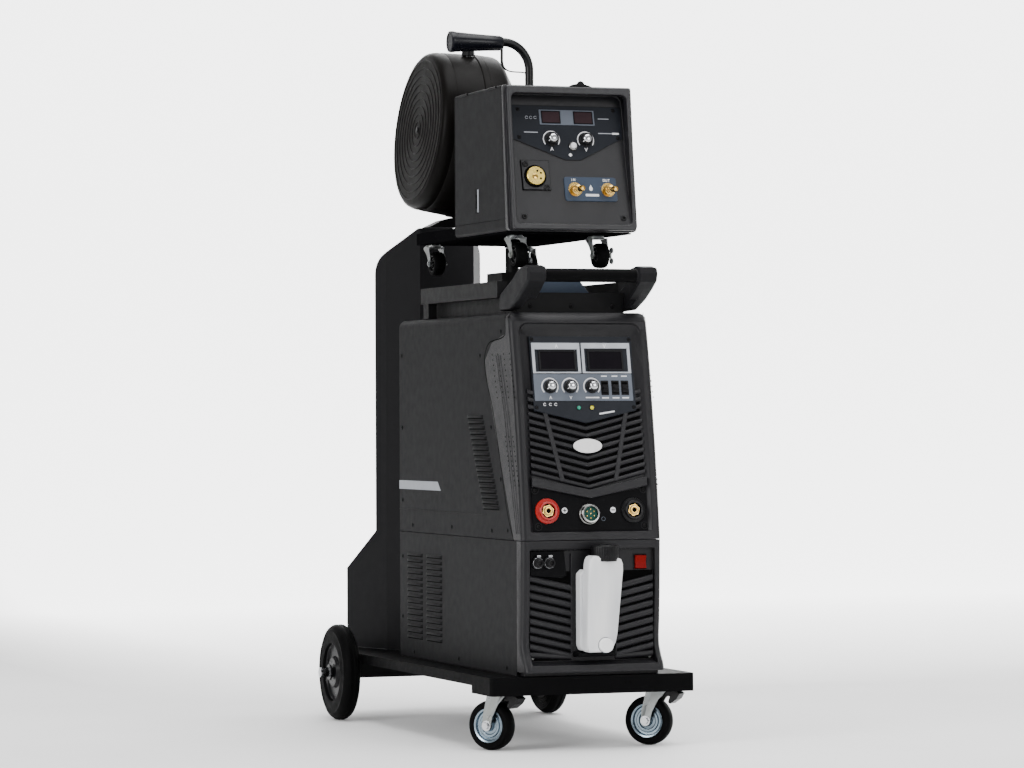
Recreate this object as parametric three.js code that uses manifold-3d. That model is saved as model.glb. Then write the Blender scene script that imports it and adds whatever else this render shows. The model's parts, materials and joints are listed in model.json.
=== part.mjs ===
// MIG welder on a cart: power source and water cooler on a wheeled deck, with a wire feeder on top.
// Millimetres. X runs across the cart, -Y is its front, +Z is up and the floor is at z = 0.

import * as THREE from 'three';
import { ConvexGeometry } from 'three/addons/geometries/ConvexGeometry.js';
import { mergeVertices } from 'three/addons/utils/BufferGeometryUtils.js';
import Module from 'manifold-3d';

const wasm = await Module();
wasm.setup();

// ---------------------------------------------------------------- driving dimensions

const GAP = 0.3; // clearance between pieces that touch
const CENTRING_Y = -0.1; // brings the middle of the length to y = 0
const LIFT = 3; // heights below are counted from 3 mm above the floor, except inside the front casters

const DECK = { half: 211, front: -521, rear: 573, top: 140, sheet: 4, rim: 20, frontRim: 35, frontDepth: 112 };
const BOTTLE_SEAT = { y: 462, radius: 95, rise: 2 };
const REAR_WHEEL = { radius: 101.5, width: 40, x: 237, y: 370, bore: 10.4 };
const AXLE = { radius: 10, beam: [352, 388], beamBottom: 86, capRadius: 10.5, end: 281 };
const CASTER = {
  x: 165, y: -478, height: 134.7, trail: 33, swivels: { left: 36, right: 45 },
  wheelRadius: 48, wheelWidth: 30, bore: 5.4, pin: 5, legIn: 17, legOut: 20, crown: 24, segments: 18,
};
const BODY = { half: 144.5, sheet: 1.5, rear: 235 };
const COOLER = { front: -517, floor: -505, bottom: 148, top: 401 };
const TANK = { front: -563, step: -530, capX: 15.5, capY: -543.8, drainX: 8, drainZ: 201 };
const POWER = { bottom: 402, top: 844, round: 16 };
const CONTROL = { y: -467, z: 735, lean: 11.3, half: 106, thickness: 5 };
const SOCKETS = { y: -503.5, z: 458, lean: 6.7, x: 89, flange: 25, nose: 18, bore: 14 };
const CRADLE = { sheet: 3, top: 1048, bottom: 140.3 };
const TRAY = { rail: [118, 138], bottom: 875, top: 907, rear: 110, front: -361.7 };
const PIVOT = { y: -68, radius: 10, collar: 14, top: 1014 };
const HANDLE = { y: -508, z: 914, bar: 13, boss: 19, outer: 135, inner: 97, tail: 113 };
const FEEDER = { half: 135, sheet: 1.5, floor: 1003, top: 1291, rear: -102, baseRear: 153 };
const FEEDER_FACE = { y: -384, z: 1185, lean: 14 };
const FEEDER_CASTER = {
  height: 64.7, ground: 935, trail: 22, wheelRadius: 25, wheelWidth: 26, bore: 3.4, pin: 3,
  legIn: 15, legOut: 17, crown: 16, segments: 12,
};
const FEEDER_CASTERS = { front_left: [-86, -321], front_right: [86, -321], rear_left: [-102, 132], rear_right: [102, 132] };
const DRUM = { y: 137, z: 1226, lean: 6, radius: 164, seamRadius: 172, wall: 3, face: -135, seam: -31, back: 60, backRadius: 104 };
const SPOOL = { radius: 150, wire: 138, bore: 26, half: 51, flange: 4, x: -66 };
const FEEDER_HANDLE = { x: 31, y: -90, tube: 9, straight: 1346, top: 1405.5 };
const DRIVE = { x: -60, y: -250, z: 1095, roll: 15 };

// ---------------------------------------------------------------- finishes

const finish = (color, roughness, metalness = 0) => new THREE.MeshStandardMaterial({ color, roughness, metalness });
const FINISH = {
  coat: () => finish('#3c3c3f', 0.62, 0.15),
  darkCoat: () => finish('#2b2b2d', 0.6, 0.15),
  moulding: () => finish('#242528', 0.55),
  blackPlastic: () => finish('#17181a', 0.45),
  rubber: () => finish('#1c1c1d', 0.8),
  zinc: () => finish('#b9c2c9', 0.35, 0.9),
  steel: () => finish('#c8cacd', 0.25, 1),
  brass: () => finish('#c79a45', 0.3, 1),
  silverPanel: () => finish('#b4b9c0', 0.45, 0.3),
  tank: () => finish('#eceded', 0.4),
  red: () => finish('#c8281c', 0.4),
  copper: () => finish('#b06a3a', 0.45, 0.8),
};

// ---------------------------------------------------------------- shape helpers

const rad = THREE.MathUtils.degToRad;
const mirrored = (points) => points.map(([u, v]) => [-u, v]).reverse();

function clean(geometry) {
  const bare = geometry.clone();
  bare.deleteAttribute('normal');
  bare.deleteAttribute('uv');
  const merged = mergeVertices(bare, 1e-4);
  const index = merged.index.array;
  const kept = [];
  for (let i = 0; i < index.length; i += 3) {
    const [a, b, c] = [index[i], index[i + 1], index[i + 2]];
    if (a !== b && b !== c && c !== a) kept.push(a, b, c);
  }
  merged.setIndex(kept);
  return merged;
}

function toSolid(geometry) {
  const merged = clean(geometry);
  return new wasm.Manifold(new wasm.Mesh({
    numProp: 3,
    vertProperties: new Float32Array(merged.attributes.position.array),
    triVerts: new Uint32Array(merged.index.array),
  }));
}

function toGeometry(solid) {
  const mesh = solid.getMesh();
  const geometry = new THREE.BufferGeometry();
  const positions = new Float32Array(mesh.numVert * 3);
  for (let i = 0; i < mesh.numVert; i += 1) {
    for (let k = 0; k < 3; k += 1) positions[3 * i + k] = mesh.vertProperties[i * mesh.numProp + k];
  }
  geometry.setAttribute('position', new THREE.BufferAttribute(positions, 3));
  geometry.setIndex(new THREE.BufferAttribute(new Uint32Array(mesh.triVerts), 1));
  return geometry;
}

const join = (...pieces) => toGeometry(pieces.map(toSolid).reduce((all, piece) => all.add(piece)));
const cut = (body, ...tools) => toGeometry(tools.map(toSolid).reduce((left, tool) => left.subtract(tool), toSolid(body)));
const common = (a, b) => toGeometry(toSolid(a).intersect(toSolid(b)));

function block([x0, x1], [y0, y1], [z0, z1]) {
  const geometry = new THREE.BoxGeometry(x1 - x0, y1 - y0, z1 - z0);
  return geometry.translate((x0 + x1) / 2, (y0 + y1) / 2, (z0 + z1) / 2);
}

// Extrudes an outline along an axis: (y, z) points for 'x', (x, z) for 'y' and (x, y) for 'z'.
function prism(axis, points, [from, to], curveSegments = 6) {
  const shape = points instanceof THREE.Shape ? points : new THREE.Shape(points.map(([u, v]) => new THREE.Vector2(u, v)));
  const geometry = new THREE.ExtrudeGeometry(shape, { depth: to - from, bevelEnabled: false, curveSegments });
  if (axis === 'z') return geometry.translate(0, 0, from);
  if (axis === 'y') return geometry.rotateX(Math.PI / 2).translate(0, to, 0);
  const cycle = new THREE.Matrix4().set(0, 0, 1, 0, 1, 0, 0, 0, 0, 1, 0, 0, 0, 0, 0, 1);
  return geometry.applyMatrix4(cycle).translate(from, 0, 0);
}

// Turns a (radius, height) outline about an axis; heights run along that axis.
function turned(axis, profile, segments = 24, [x, y, z] = [0, 0, 0]) {
  const geometry = new THREE.LatheGeometry(profile.map(([r, h]) => new THREE.Vector2(r, h)), segments);
  if (axis === 'z') geometry.rotateX(Math.PI / 2);
  if (axis === 'x') geometry.rotateZ(-Math.PI / 2);
  if (axis === '-y') geometry.rotateX(Math.PI);
  return geometry.translate(x, y, z);
}

const disc = (radius, from, to) => [[0, from], [radius, from], [radius, to], [0, to]];
const rod = (axis, radius, from, to, centre, segments = 14) => turned(axis, disc(radius, from, to), segments, centre);

function roundedRect(halfWidth, low, high, radius, lowRadius = 0) {
  const shape = new THREE.Shape();
  if (lowRadius > 0) {
    shape.absarc(-halfWidth + lowRadius, low + lowRadius, lowRadius, Math.PI, 1.5 * Math.PI, false);
    shape.absarc(halfWidth - lowRadius, low + lowRadius, lowRadius, -Math.PI / 2, 0, false);
  } else {
    shape.moveTo(-halfWidth, low);
    shape.lineTo(halfWidth, low);
  }
  shape.lineTo(halfWidth, high - radius);
  shape.absarc(halfWidth - radius, high - radius, radius, 0, Math.PI / 2, false);
  shape.absarc(-halfWidth + radius, high - radius, radius, Math.PI / 2, Math.PI, false);
  shape.closePath();
  return shape;
}

const hull = (points) => new ConvexGeometry(points.map(([x, y, z]) => new THREE.Vector3(x, y, z)));

// One level of a front moulding with rounded outer edges: its face is at y and it runs back to rear.
const FRONT_ROUND = [[0, 9], [2.6, 2.6], [9, 0]];
const frontLevel = (half, y, z, rear) => [
  ...FRONT_ROUND.flatMap(([dx, dy]) => [[-half + dx, y + dy, z], [half - dx, y + dy, z]]), [-half, rear, z], [half, rear, z],
];

// A bent sheet seen along its edge: the outline of a polyline given a thickness to its left.
function sheetOutline(points, thickness) {
  const path = points.map(([x, y]) => new THREE.Vector2(x, y));
  const normals = path.slice(1).map((p, i) => {
    const d = p.clone().sub(path[i]).normalize();
    return new THREE.Vector2(-d.y, d.x);
  });
  const inner = path.map((p, i) => {
    const before = normals[Math.max(i - 1, 0)];
    const after = normals[Math.min(i, normals.length - 1)];
    const bisector = before.clone().add(after).normalize();
    return p.clone().addScaledVector(bisector, thickness / bisector.dot(after));
  });
  return [...path, ...inner.reverse()].map((p) => [p.x, p.y]);
}

// ---------------------------------------------------------------- scene graph helpers

const cart = new THREE.Group();
cart.position.set(0, CENTRING_Y, LIFT);

function add(parent, name, geometry, material, position = [0, 0, 0]) {
  const mesh = new THREE.Mesh(clean(geometry), material);
  mesh.name = name;
  mesh.position.set(...position);
  parent.add(mesh);
  return mesh;
}

function frameAt(parent, [x, y, z], { lean = 0, swivel = 0, roll = 0 } = {}) {
  const group = new THREE.Group();
  group.position.set(x, y, z);
  group.rotation.set(rad(-lean), rad(roll), rad(swivel));
  parent.add(group);
  return group;
}

// ---------------------------------------------------------------- wheels and casters

function wheelProfile(radius, width, bore) {
  const half = width / 2;
  const side = [[0.32 * radius, half], [0.64 * radius, 0.6 * half], [0.92 * radius, 0.9 * half], [radius, 0.4 * half]];
  const lower = side.map(([r, h]) => [r, -h]);
  return [[bore, -half], ...lower, ...side.reverse(), [bore, half], [bore, -half]];
}

function casterFork({ height, trail, wheelRadius, legIn, legOut, crown, pin }) {
  const crownBottom = height - 0.07 * height;
  const bridge = block([-legOut, legOut], [-0.9 * crown, 0.9 * crown], [crownBottom - 3, crownBottom]);
  const boss = rod('z', crown, crownBottom - 0.5, height, [0, 0, 0], 12);
  const unit = crown / 24;
  const drop = crownBottom - wheelRadius;
  const down = [[-21.6, 0], [31, 0], [31, 0.22], [36, 0.48], [41, 0.74], [42.5, 1]].map(([y, f]) => [y * unit, crownBottom - f * drop]);
  const foot = [[39, -9], [27, -9]].map(([y, dz]) => [y * unit, wheelRadius + dz * unit]);
  const up = [[23.5, 0], [19, 0.23], [6, 0.54], [-12, 0.78], [-21.6, 0.88]].map(([y, f]) => [y * unit, wheelRadius + f * drop]);
  const leg = [...down, ...foot, ...up];
  const axle = rod('x', pin, -legOut - 3, legOut + 3, [0, trail, wheelRadius], 8);
  return join(bridge, boss, prism('x', leg, [legIn, legOut]), prism('x', leg, [-legOut, -legIn]), axle);
}

function addCaster(parent, suffix, spec, position, swivel) {
  const frame = frameAt(parent, position, { swivel });
  add(frame, `${suffix}_fork`, casterFork(spec), FINISH.zinc());
  const wheel = turned('x', wheelProfile(spec.wheelRadius, spec.wheelWidth, spec.bore), spec.segments);
  add(frame, `${suffix}_wheel`, wheel, FINISH.rubber(), [0, spec.trail, spec.wheelRadius]);
  return frame;
}

function addFrontCasters() {
  const pedal = [[10, 106], [-30, 106.5], [-37, 102], [-30, 91], [-17, 82], [-13, 85], [-16, 97], [10, 97]];
  for (const [side, sign] of [['left', -1], ['right', 1]]) {
    const frame = addCaster(cart, `caster_${side}`, CASTER, [sign * CASTER.x, CASTER.y, -LIFT], CASTER.swivels[side]);
    const lever = join(prism('x', pedal, [-14, 14]), rod('x', 4, -16.5, 16.5, [0, 2, 101], 10));
    add(frame, `caster_${side}_pedal`, lever, FINISH.blackPlastic());
  }
}

function addRearWheels() {
  const beam = block([-206, 206], AXLE.beam, [AXLE.beamBottom, DECK.top - DECK.sheet - GAP]);
  const centre = [0, REAR_WHEEL.y, REAR_WHEEL.radius - LIFT];
  const shaft = rod('x', AXLE.radius, -AXLE.end + 4, AXLE.end - 4, centre, 16);
  const cap = (sign) => join(
    rod('x', AXLE.capRadius, ...(sign < 0 ? [-AXLE.end, -258] : [258, AXLE.end]), centre, 18),
    rod('x', 17, ...(sign < 0 ? [-261, -257.5] : [257.5, 261]), centre, 18),
  );
  add(cart, 'rear_axle', join(beam, shaft, cap(-1), cap(1)), FINISH.darkCoat());
  for (const [side, sign] of [['left', -1], ['right', 1]]) {
    const wheel = turned('x', wheelProfile(REAR_WHEEL.radius, REAR_WHEEL.width, REAR_WHEEL.bore), 22);
    add(cart, `rear_wheel_${side}`, wheel, FINISH.rubber(), [sign * REAR_WHEEL.x, ...centre.slice(1)]);
  }
}

// ---------------------------------------------------------------- deck and bottle cradle

function addDeck() {
  const { half, front, rear, top, sheet, rim, frontRim, frontDepth } = DECK;
  const outline = [[front, top], [front, top - frontRim], [front + frontDepth, top - frontRim], [front + frontDepth, top - rim], [rear, top - rim], [rear, top]];
  const pan = block([-half + sheet, half - sheet], [front + sheet, rear - sheet], [top - frontRim - 1, top - sheet]);
  const pad = (x) => block([x - 42, x + 42], [CASTER.y - 42, CASTER.y + 42], [CASTER.height - LIFT + GAP, top - sheet + 0.5]);
  const notch = block([-half - 1, half + 1], [REAR_WHEEL.y - 12, REAR_WHEEL.y + 12], [90, 111.5]);
  const plan = roundedRect(half, -rear - 1, -front, 9);
  const corners = prism('z', plan, [top - frontRim - 5, top + 5], 4).rotateX(Math.PI).translate(0, 0, 2 * top - frontRim);
  const shell = cut(common(prism('x', outline, [-half - 1, half + 1]), corners), pan, notch);
  const seat = rod('z', BOTTLE_SEAT.radius, top - 1, top + BOTTLE_SEAT.rise, [0, BOTTLE_SEAT.y, 0], 40);
  add(cart, 'deck_frame', join(shell, pad(-CASTER.x), pad(CASTER.x), seat), FINISH.darkCoat());
}

function addBottleCradle() {
  const wing = [[61, 344], [108, 435], [156.7, 570]];
  const path = [...mirrored(wing), ...wing];
  const walls = prism('z', sheetOutline(path, CRADLE.sheet), [CRADLE.bottom, CRADLE.top]);
  const corner = new THREE.Shape();
  corner.moveTo(330, CRADLE.bottom - 1);
  corner.lineTo(580, CRADLE.bottom - 1);
  corner.lineTo(580, 312);
  corner.lineTo(570, 312);
  corner.lineTo(472, 395);
  corner.lineTo(472, 950);
  corner.absarc(424, 950, 48, 0, rad(62), false);
  corner.lineTo(350, CRADLE.top - 2);
  corner.lineTo(330, CRADLE.top + 1);
  const side = prism('x', corner, [-200, 200], 5);
  add(cart, 'bottle_cradle', common(walls, side), FINISH.coat());
}

// ---------------------------------------------------------------- water cooler

const COOLER_FRONT = [[-534, 148], [-535, 150], [-531, 163], [-520, 178], [-511, 195], [-509, 215], [-511.5, 240], [-515, 300], [-517, 401]];

function addCooler() {
  const { half, sheet, rear } = BODY;
  const { front, floor, bottom, top } = COOLER;
  const seam = front + 34;
  const box = block([-half, half], [seam, rear], [DECK.top + GAP, top]);
  const inside = block([-half + sheet, half - sheet], [seam - 1, rear - sheet], [DECK.top + 3, top - sheet]);
  const outlet = rod('y', 70, rear - 5, rear + 5, [0, 0, 270], 24);
  add(cart, 'cooler_cover', cut(box, inside, outlet), FINISH.coat());

  const levels = COOLER_FRONT.map(([y, z]) => frontLevel(half, y, z, seam - GAP));
  const chin = levels.slice(1).map((level, i) => hull([...levels[i], ...level]));
  const bezel = join(...chin, block([-138, 138], [front + 6, seam - GAP], [DECK.top + GAP, bottom + 1]));
  const opening = prism('y', roundedRect(129, 150, 385, 4), [-560, floor]).translate(1, 0, 0);
  const face = common(opening, prism('x', [[-500, 169.1], [-600, 146.3], [-600, 400], [-500, 400]], [-200, 200]));
  const hollow = block([-half + 4, half - 4], [floor + 5, seam + 1], [bottom + 4, top - 4]);
  const switchHole = block([103 - 12.5, 103 + 12.5], [floor - 1, floor + 6], [358 - 15, 358 + 15]);
  add(cart, 'cooler_bezel', cut(bezel, face, hollow, switchHole), FINISH.moulding());

  addCoolantTank();
  const rocker = [[-6.5, 12.5], [-3.5, 0], [-6.5, -12.5], [3.5, -13], [3.5, 13]];
  add(cart, 'pump_switch', prism('x', rocker, [-11.5, 11.5]), FINISH.red(), [103, floor, 358]);

  const hex = [[-126, 382], [-126, 334], [-52, 330], [-47, 338], [-52, 382]];
  const coupling = (x) => turned('-y', [[0, 2], [10, 2], [10, 12], [8, 14], [8, 22], [0, 22]], 14, [x, floor, 361]);
  const plate = prism('y', hex, [floor - 4, floor - GAP]);
  add(cart, 'coolant_couplings', join(plate, coupling(-112), coupling(-88)), FINISH.blackPlastic());

  add(cart, 'radiator', block([-100, 100], [170, 205], [DECK.top + 3 + GAP, 372]), FINISH.steel());
  const pump = join(rod('y', 42, -60, 70, [0, 0, 190], 18), block([-40, 40], [-110, 20], [DECK.top + 3 + GAP, 200]));
  add(cart, 'coolant_pump', pump, FINISH.zinc());
}

function addCoolantTank() {
  const { front, step, capX, capY, drainX, drainZ } = TANK;
  const outline = new THREE.Shape();
  outline.moveTo(-28, 187);
  outline.lineTo(11, 187);
  outline.absarc(11, 215, 28, -Math.PI / 2, -0.12, false);
  outline.lineTo(48, 345);
  outline.absarc(35, 356, 13, 0, Math.PI / 2, false);
  outline.lineTo(-17, 373);
  outline.absarc(-17, 360, 13, Math.PI / 2, Math.PI, false);
  outline.lineTo(-31, 346);
  outline.lineTo(-37, 338);
  outline.lineTo(-37, 197);
  const shoulder = [[-37, 200], [-29, 188], [20, 188], [38, 205], [45, 335], [38, 346], [-29, 346], [-37, 338]];
  const neck = rod('z', 19, 350, 380, [capX, capY, 0], 18);
  const seat = rod('z', 27, 361, 390, [capX, capY, 0], 20);
  const outlet = rod('y', 11, front - 7, front + 4, [drainX, 0, drainZ], 14);
  const rearHalf = prism('y', shoulder, [step - 1, COOLER.floor - GAP]);
  const body = cut(join(prism('y', outline, [front, step], 4), rearHalf), seat);
  add(cart, 'coolant_tank', join(body, neck, outlet), FINISH.tank());
  const cap = [[19.6, 0], [26.3, 0], [26.3, 30], [24, 33], [0, 33], [0, 20], [19.6, 20], [19.6, 0]];
  add(cart, 'tank_cap', turned('z', cap, 20), FINISH.blackPlastic(), [capX, capY, 361.4]);
  const drain = [[11.4, 0], [14, 0], [14, 8], [12.5, 9.5], [0, 9.5], [0, 7.5], [11.4, 7.5], [11.4, 0]];
  add(cart, 'drain_cap', turned('-y', drain, 18), FINISH.tank(), [drainX, front - GAP, drainZ]);
}

// ---------------------------------------------------------------- power source

const POWER_FRONT = [[-517, POWER.bottom], [-511, 457], [-494, 585], [-469, 735], [-456, 797], [-449, 826], [-444, 836], [-434, POWER.top]];
// Recess of the front: height, depth line, half width at its floor and at its opening.
const POWER_RECESS = [[418, -508.5, 119, 127], [457, -503, 119, 127], [585, -486, 116, 127], [640, -477, 112, 126.5], [735, -461, 110, 126], [797, -448, 109, 125]];
const POWER_SEAM = [[-425, POWER.top], [-425, 803], [-345, 786], [-305, 752], [-320, 705], [-468, POWER.bottom]];
const inset = (points, dy) => points.map(([y, z]) => [y + dy, z]);

function addPowerSource() {
  const { half, sheet, rear } = BODY;
  const { bottom, top, round } = POWER;
  const outer = prism('y', roundedRect(half, bottom, top, round), [-500, rear], 5);
  const inner = prism('y', roundedRect(half - sheet, bottom - 1, top - sheet, round - sheet), [-501, rear + 1], 5);
  const seam = [[-424, top + 5], ...inset(POWER_SEAM, GAP), [-470, bottom - 5]];
  const frontEnd = prism('x', [[-600, bottom - 5], [-600, top + 5], ...seam], [-200, 200]);
  add(cart, 'power_source_cover', cut(outer, inner, frontEnd), FINISH.coat());

  const fanHole = rod('y', 66, rear - 12, rear, [0, 0, 600], 24);
  const rearWall = cut(block([-142, 142], [rear - 6, rear - 3], [bottom + 2, top - 22]), fanHole);
  const floorPlate = block([-142, 142], [-455, rear - 3], [bottom + GAP, bottom + 3]);
  const fanBar = block([-70, 70], [rear - 9, rear - 5.5], [593, 607]);
  const fanShaft = rod('y', 4, 195, rear - 6, [0, 0, 600], 10);
  add(cart, 'power_source_chassis', join(rearWall, floorPlate, fanBar, fanShaft), FINISH.zinc());

  const sheath = (margin, radius) => prism('y', roundedRect(half - margin, bottom + margin, top - margin, radius), [-600, 300], 5);
  const shell = hull([...POWER_FRONT, [-426.5, top + 6]].flatMap(([y, z]) => frontLevel(half, y, z, rear)));
  const ahead = prism('x', [[-600, bottom - 5], [-600, top + 5], [-425, top + 5], ...POWER_SEAM.slice(1), [-471, bottom - 5]], [-200, 200]);
  const across = (x, y, z) => [[-x, y, z], [x, y, z]];
  const cell = ([z, y, floorHalf, openHalf]) => [...across(floorHalf, y, z), ...across(openHalf, y - 8, z), ...across(openHalf, y - 60, z)];
  const brow = [[124.6, 808], [121, 817], [111, 822]].flatMap(([x, z]) => [...across(x, -454 + 0.24 * (z - 805), z), ...across(x, -520, z)]);
  const cells = POWER_RECESS.slice(1).map((level, i) => hull([...cell(POWER_RECESS[i]), ...cell(level)]));
  const face = join(...cells, hull([...cell(POWER_RECESS[5]), ...across(108.5, -446.5, 804), ...brow]));
  const behind = prism('x', [...inset(POWER_FRONT, 13), [-200, top], [-200, bottom]], [-half, half]);
  const hollow = common(behind, sheath(4, round - 3));
  const bezel = cut(common(common(shell, sheath(0, round)), ahead), face, hollow);
  add(cart, 'power_source_bezel', bezel, FINISH.moulding());

  addControlPanel();
  addOutputSockets();

  const core = block([-70, 70], [-220, -90], [bottom + 3 + GAP, 540]);
  const winding = (x) => block([x - 28, x + 28], [-240, -70], [425, 520]);
  add(cart, 'transformer', join(core, winding(-36), winding(36)), FINISH.copper());

  const blades = [];
  for (let i = 0; i < 5; i += 1) {
    const blade = block([-13, 13], [-1.5, 1.5], [16, 60]).rotateZ(rad(32)).rotateY((i * 2 * Math.PI) / 5);
    blades.push(blade);
  }
  const hub = turned('y', [[4.4, -12], [22, -12], [22, 12], [4.4, 12], [4.4, -12]], 18);
  add(cart, 'cooling_fan', join(hub, ...blades), FINISH.blackPlastic(), [0, 210, 600]);
}

function addControlPanel() {
  const { y, z, lean, half, thickness } = CONTROL;
  const frame = frameAt(cart, [0, y, z], { lean });
  const outline = [[-half, -84], [0, -109], [half, -84], [half, 63], [-half, 63]];
  add(frame, 'control_panel', prism('y', outline, [0, thickness]), FINISH.silverPanel());
  const knob = [[0, GAP], [13.5, GAP], [12.5, 10], [9, 12], [8, 18], [0, 18]];
  for (const [name, x] of [['current_knob', -71], ['voltage_knob', -29], ['arc_force_knob', 16]]) {
    add(frame, name, turned('-y', knob, 18), FINISH.steel(), [x, 0, -37]);
  }
  const lever = [[-GAP, -13], [-4, -12], [-4, -2], [-8, 0], [-4, 2], [-4, 12], [-GAP, 13]];
  for (const [name, x] of [['mode_switch', 43], ['gas_switch', 65], ['lock_switch', 85]]) {
    add(frame, name, prism('x', lever.map(([v, w]) => [v, 0.6 * w]), [-7, 7]), FINISH.blackPlastic(), [x, 0, -40]);
  }
}

function addOutputSockets() {
  const { flange, nose, bore, x, y, z, lean } = SOCKETS;
  const profile = [[0, 5], [bore, 5], [bore, 12], [nose, 12], [flange, 5.5], [flange, GAP], [0, GAP]].reverse();
  for (const [name, sign, colour] of [['positive_socket', -1, FINISH.red], ['negative_socket', 1, FINISH.blackPlastic]]) {
    const frame = frameAt(cart, [sign * x, y, z], { lean });
    add(frame, name, turned('-y', profile, 20), colour());
  }
}

// ---------------------------------------------------------------- carrier tray and push handle

function addCarrierTray() {
  const { rail: [inner, outer], bottom, top, rear, front } = TRAY;
  const pieces = [];
  for (const sign of [-1, 1]) {
    const across = (a, b) => (sign < 0 ? [-b, -a] : [a, b]);
    pieces.push(block(across(inner, outer), [front, rear], [bottom, top]));
    pieces.push(block(across(inner, outer - 2), [rear - 44, rear - 12], [POWER.top + GAP, bottom + 1]));
    pieces.push(block(across(109, 112), [-402, 91], [POWER.top + GAP, 878]));
    pieces.push(block(across(94, inner + 1), [-358, -340], [bottom + 2, bottom + 10]));
  }
  pieces.push(block([-112, 112], [-404, -401], [POWER.top + GAP, 884]));
  pieces.push(block([-96, 96], [-366, -340], [bottom + 2, bottom + 10]));
  pieces.push(prism('y', [[-58, 884], [58, 884], [34, 908], [-34, 908]], [-354, -351]));
  pieces.push(block([-inner - 1, inner + 1], [-104, -12], [top - 8, top - 1]));
  pieces.push(block([-35, 35], [-104, -12], [top - 2, top + 28]));
  pieces.push(rod('z', PIVOT.radius, top + 20, PIVOT.top, [0, PIVOT.y, 0], 18));
  pieces.push(rod('z', PIVOT.collar, top + 27, 986, [0, PIVOT.y, 0], 18));
  add(cart, 'carrier_tray', join(...pieces), FINISH.darkCoat());
}

function addPushHandle() {
  const { y, z, bar, boss, outer, inner, tail } = HANDLE;
  const head = [[-470, 869], [-505, 888], [-526, 902], [-531, 918], [-526, 930], [-505, 933], [-470, 928]];
  const arm = [[-362, 848], [-420, 850], [-468, 868], ...head.slice(1), [-436, 910], [-362, 881]];
  const pieces = [rod('x', bar, -inner - 2, inner + 2, [0, y, z], 16)];
  for (const sign of [-1, 1]) {
    const across = (a, b) => (sign < 0 ? [-b, -a] : [a, b]);
    pieces.push(prism('x', arm, across(tail, outer)), prism('x', head, across(inner, tail + 1)), rod('x', boss, ...across(inner, outer), [0, y, z], 20));
  }
  add(cart, 'push_handle', join(...pieces), FINISH.blackPlastic());
}

// ---------------------------------------------------------------- wire feeder

function addFeederBody() {
  const { half, sheet, floor, top, rear, baseRear } = FEEDER;
  const plate = block([-130, 130], [-400, baseRear], [floor - 3, floor]);
  const flange = (x) => block([x, x + 3], [-98, baseRear], [floor - 3, floor + 21]);
  const boss = rod('z', 16, 987, floor - 1, [0, PIVOT.y, 0], 18);
  const bore = rod('z', PIVOT.radius + 0.4, 980, floor + 5, [0, PIVOT.y, 0], 18);
  add(cart, 'feeder_base', cut(join(plate, flange(-132), flange(129), boss), bore), FINISH.darkCoat());

  const side = [[-380.5, top], [-403, floor + GAP], [rear, floor + GAP], [rear, top]];
  const inside = [[-430, top - sheet], [-430, floor + 2], [rear - sheet, floor + 2], [rear - sheet, top - sheet]];
  const doorway = [[-378, 1288], [-398.5, 1027], [-105, 1027], [-105, 1288]];
  const rounded = (margin) => prism('y', roundedRect(half - margin, floor + GAP + margin, top - margin, 5 - margin, 8 - margin), [-500, rear + 1], 3);
  const cover = cut(
    common(prism('x', side, [-half - 1, half + 1]), rounded(0)),
    common(prism('x', inside, [-half, half]), rounded(sheet)),
    prism('x', doorway, [-half - 1, -half + sheet + 1]),
  );
  add(cart, 'feeder_cover', cover, FINISH.coat());
  const door = [[-377.4, 1287.4], [-397.9, 1027.6], [-105.6, 1027.6], [-105.6, 1287.4]];
  add(cart, 'feeder_door', prism('x', door, [-half, -half + sheet]), FINISH.coat());

  const seam = common(prism('x', [[-387.4, top + 5], [-418.6, floor - 5], [-404, floor - 5], [-380.6, top + 5]], [-half - 1, half + 1]), rounded(0));
  const lip = prism('y', roundedRect(half - 5, floor + 3, top - 2, 6, 9), [-500, -300], 3);
  const rim = common(prism('x', [[-398.3, top + 3], [-436.7, floor - 2], [-411, floor - 2], [-386, top + 3]], [-half, half]), lip);
  const backing = prism('x', [[-365, 1279], [-430, 1008], [-418, 1008], [-355, 1279]], [-126, 126]);
  const mouth = prism('y', roundedRect(121, 1017, 1275, 12, 12), [-500, -300], 4);
  const recess = common(prism('x', [[-359, 1283], [-427.5, 1009], [-460, 1009], [-460, 1283]], [-130, 130]), mouth);
  const tilt = new THREE.Matrix4().makeRotationX(rad(-FEEDER_FACE.lean)).setPosition(0, FEEDER_FACE.y, FEEDER_FACE.z);
  const purgeHole = rod('y', 6.6, -6, 14, [12, 0, -13], 14).applyMatrix4(tilt);
  add(cart, 'feeder_bezel', cut(join(seam, rim, backing), recess, purgeHole), FINISH.moulding());
}

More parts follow.
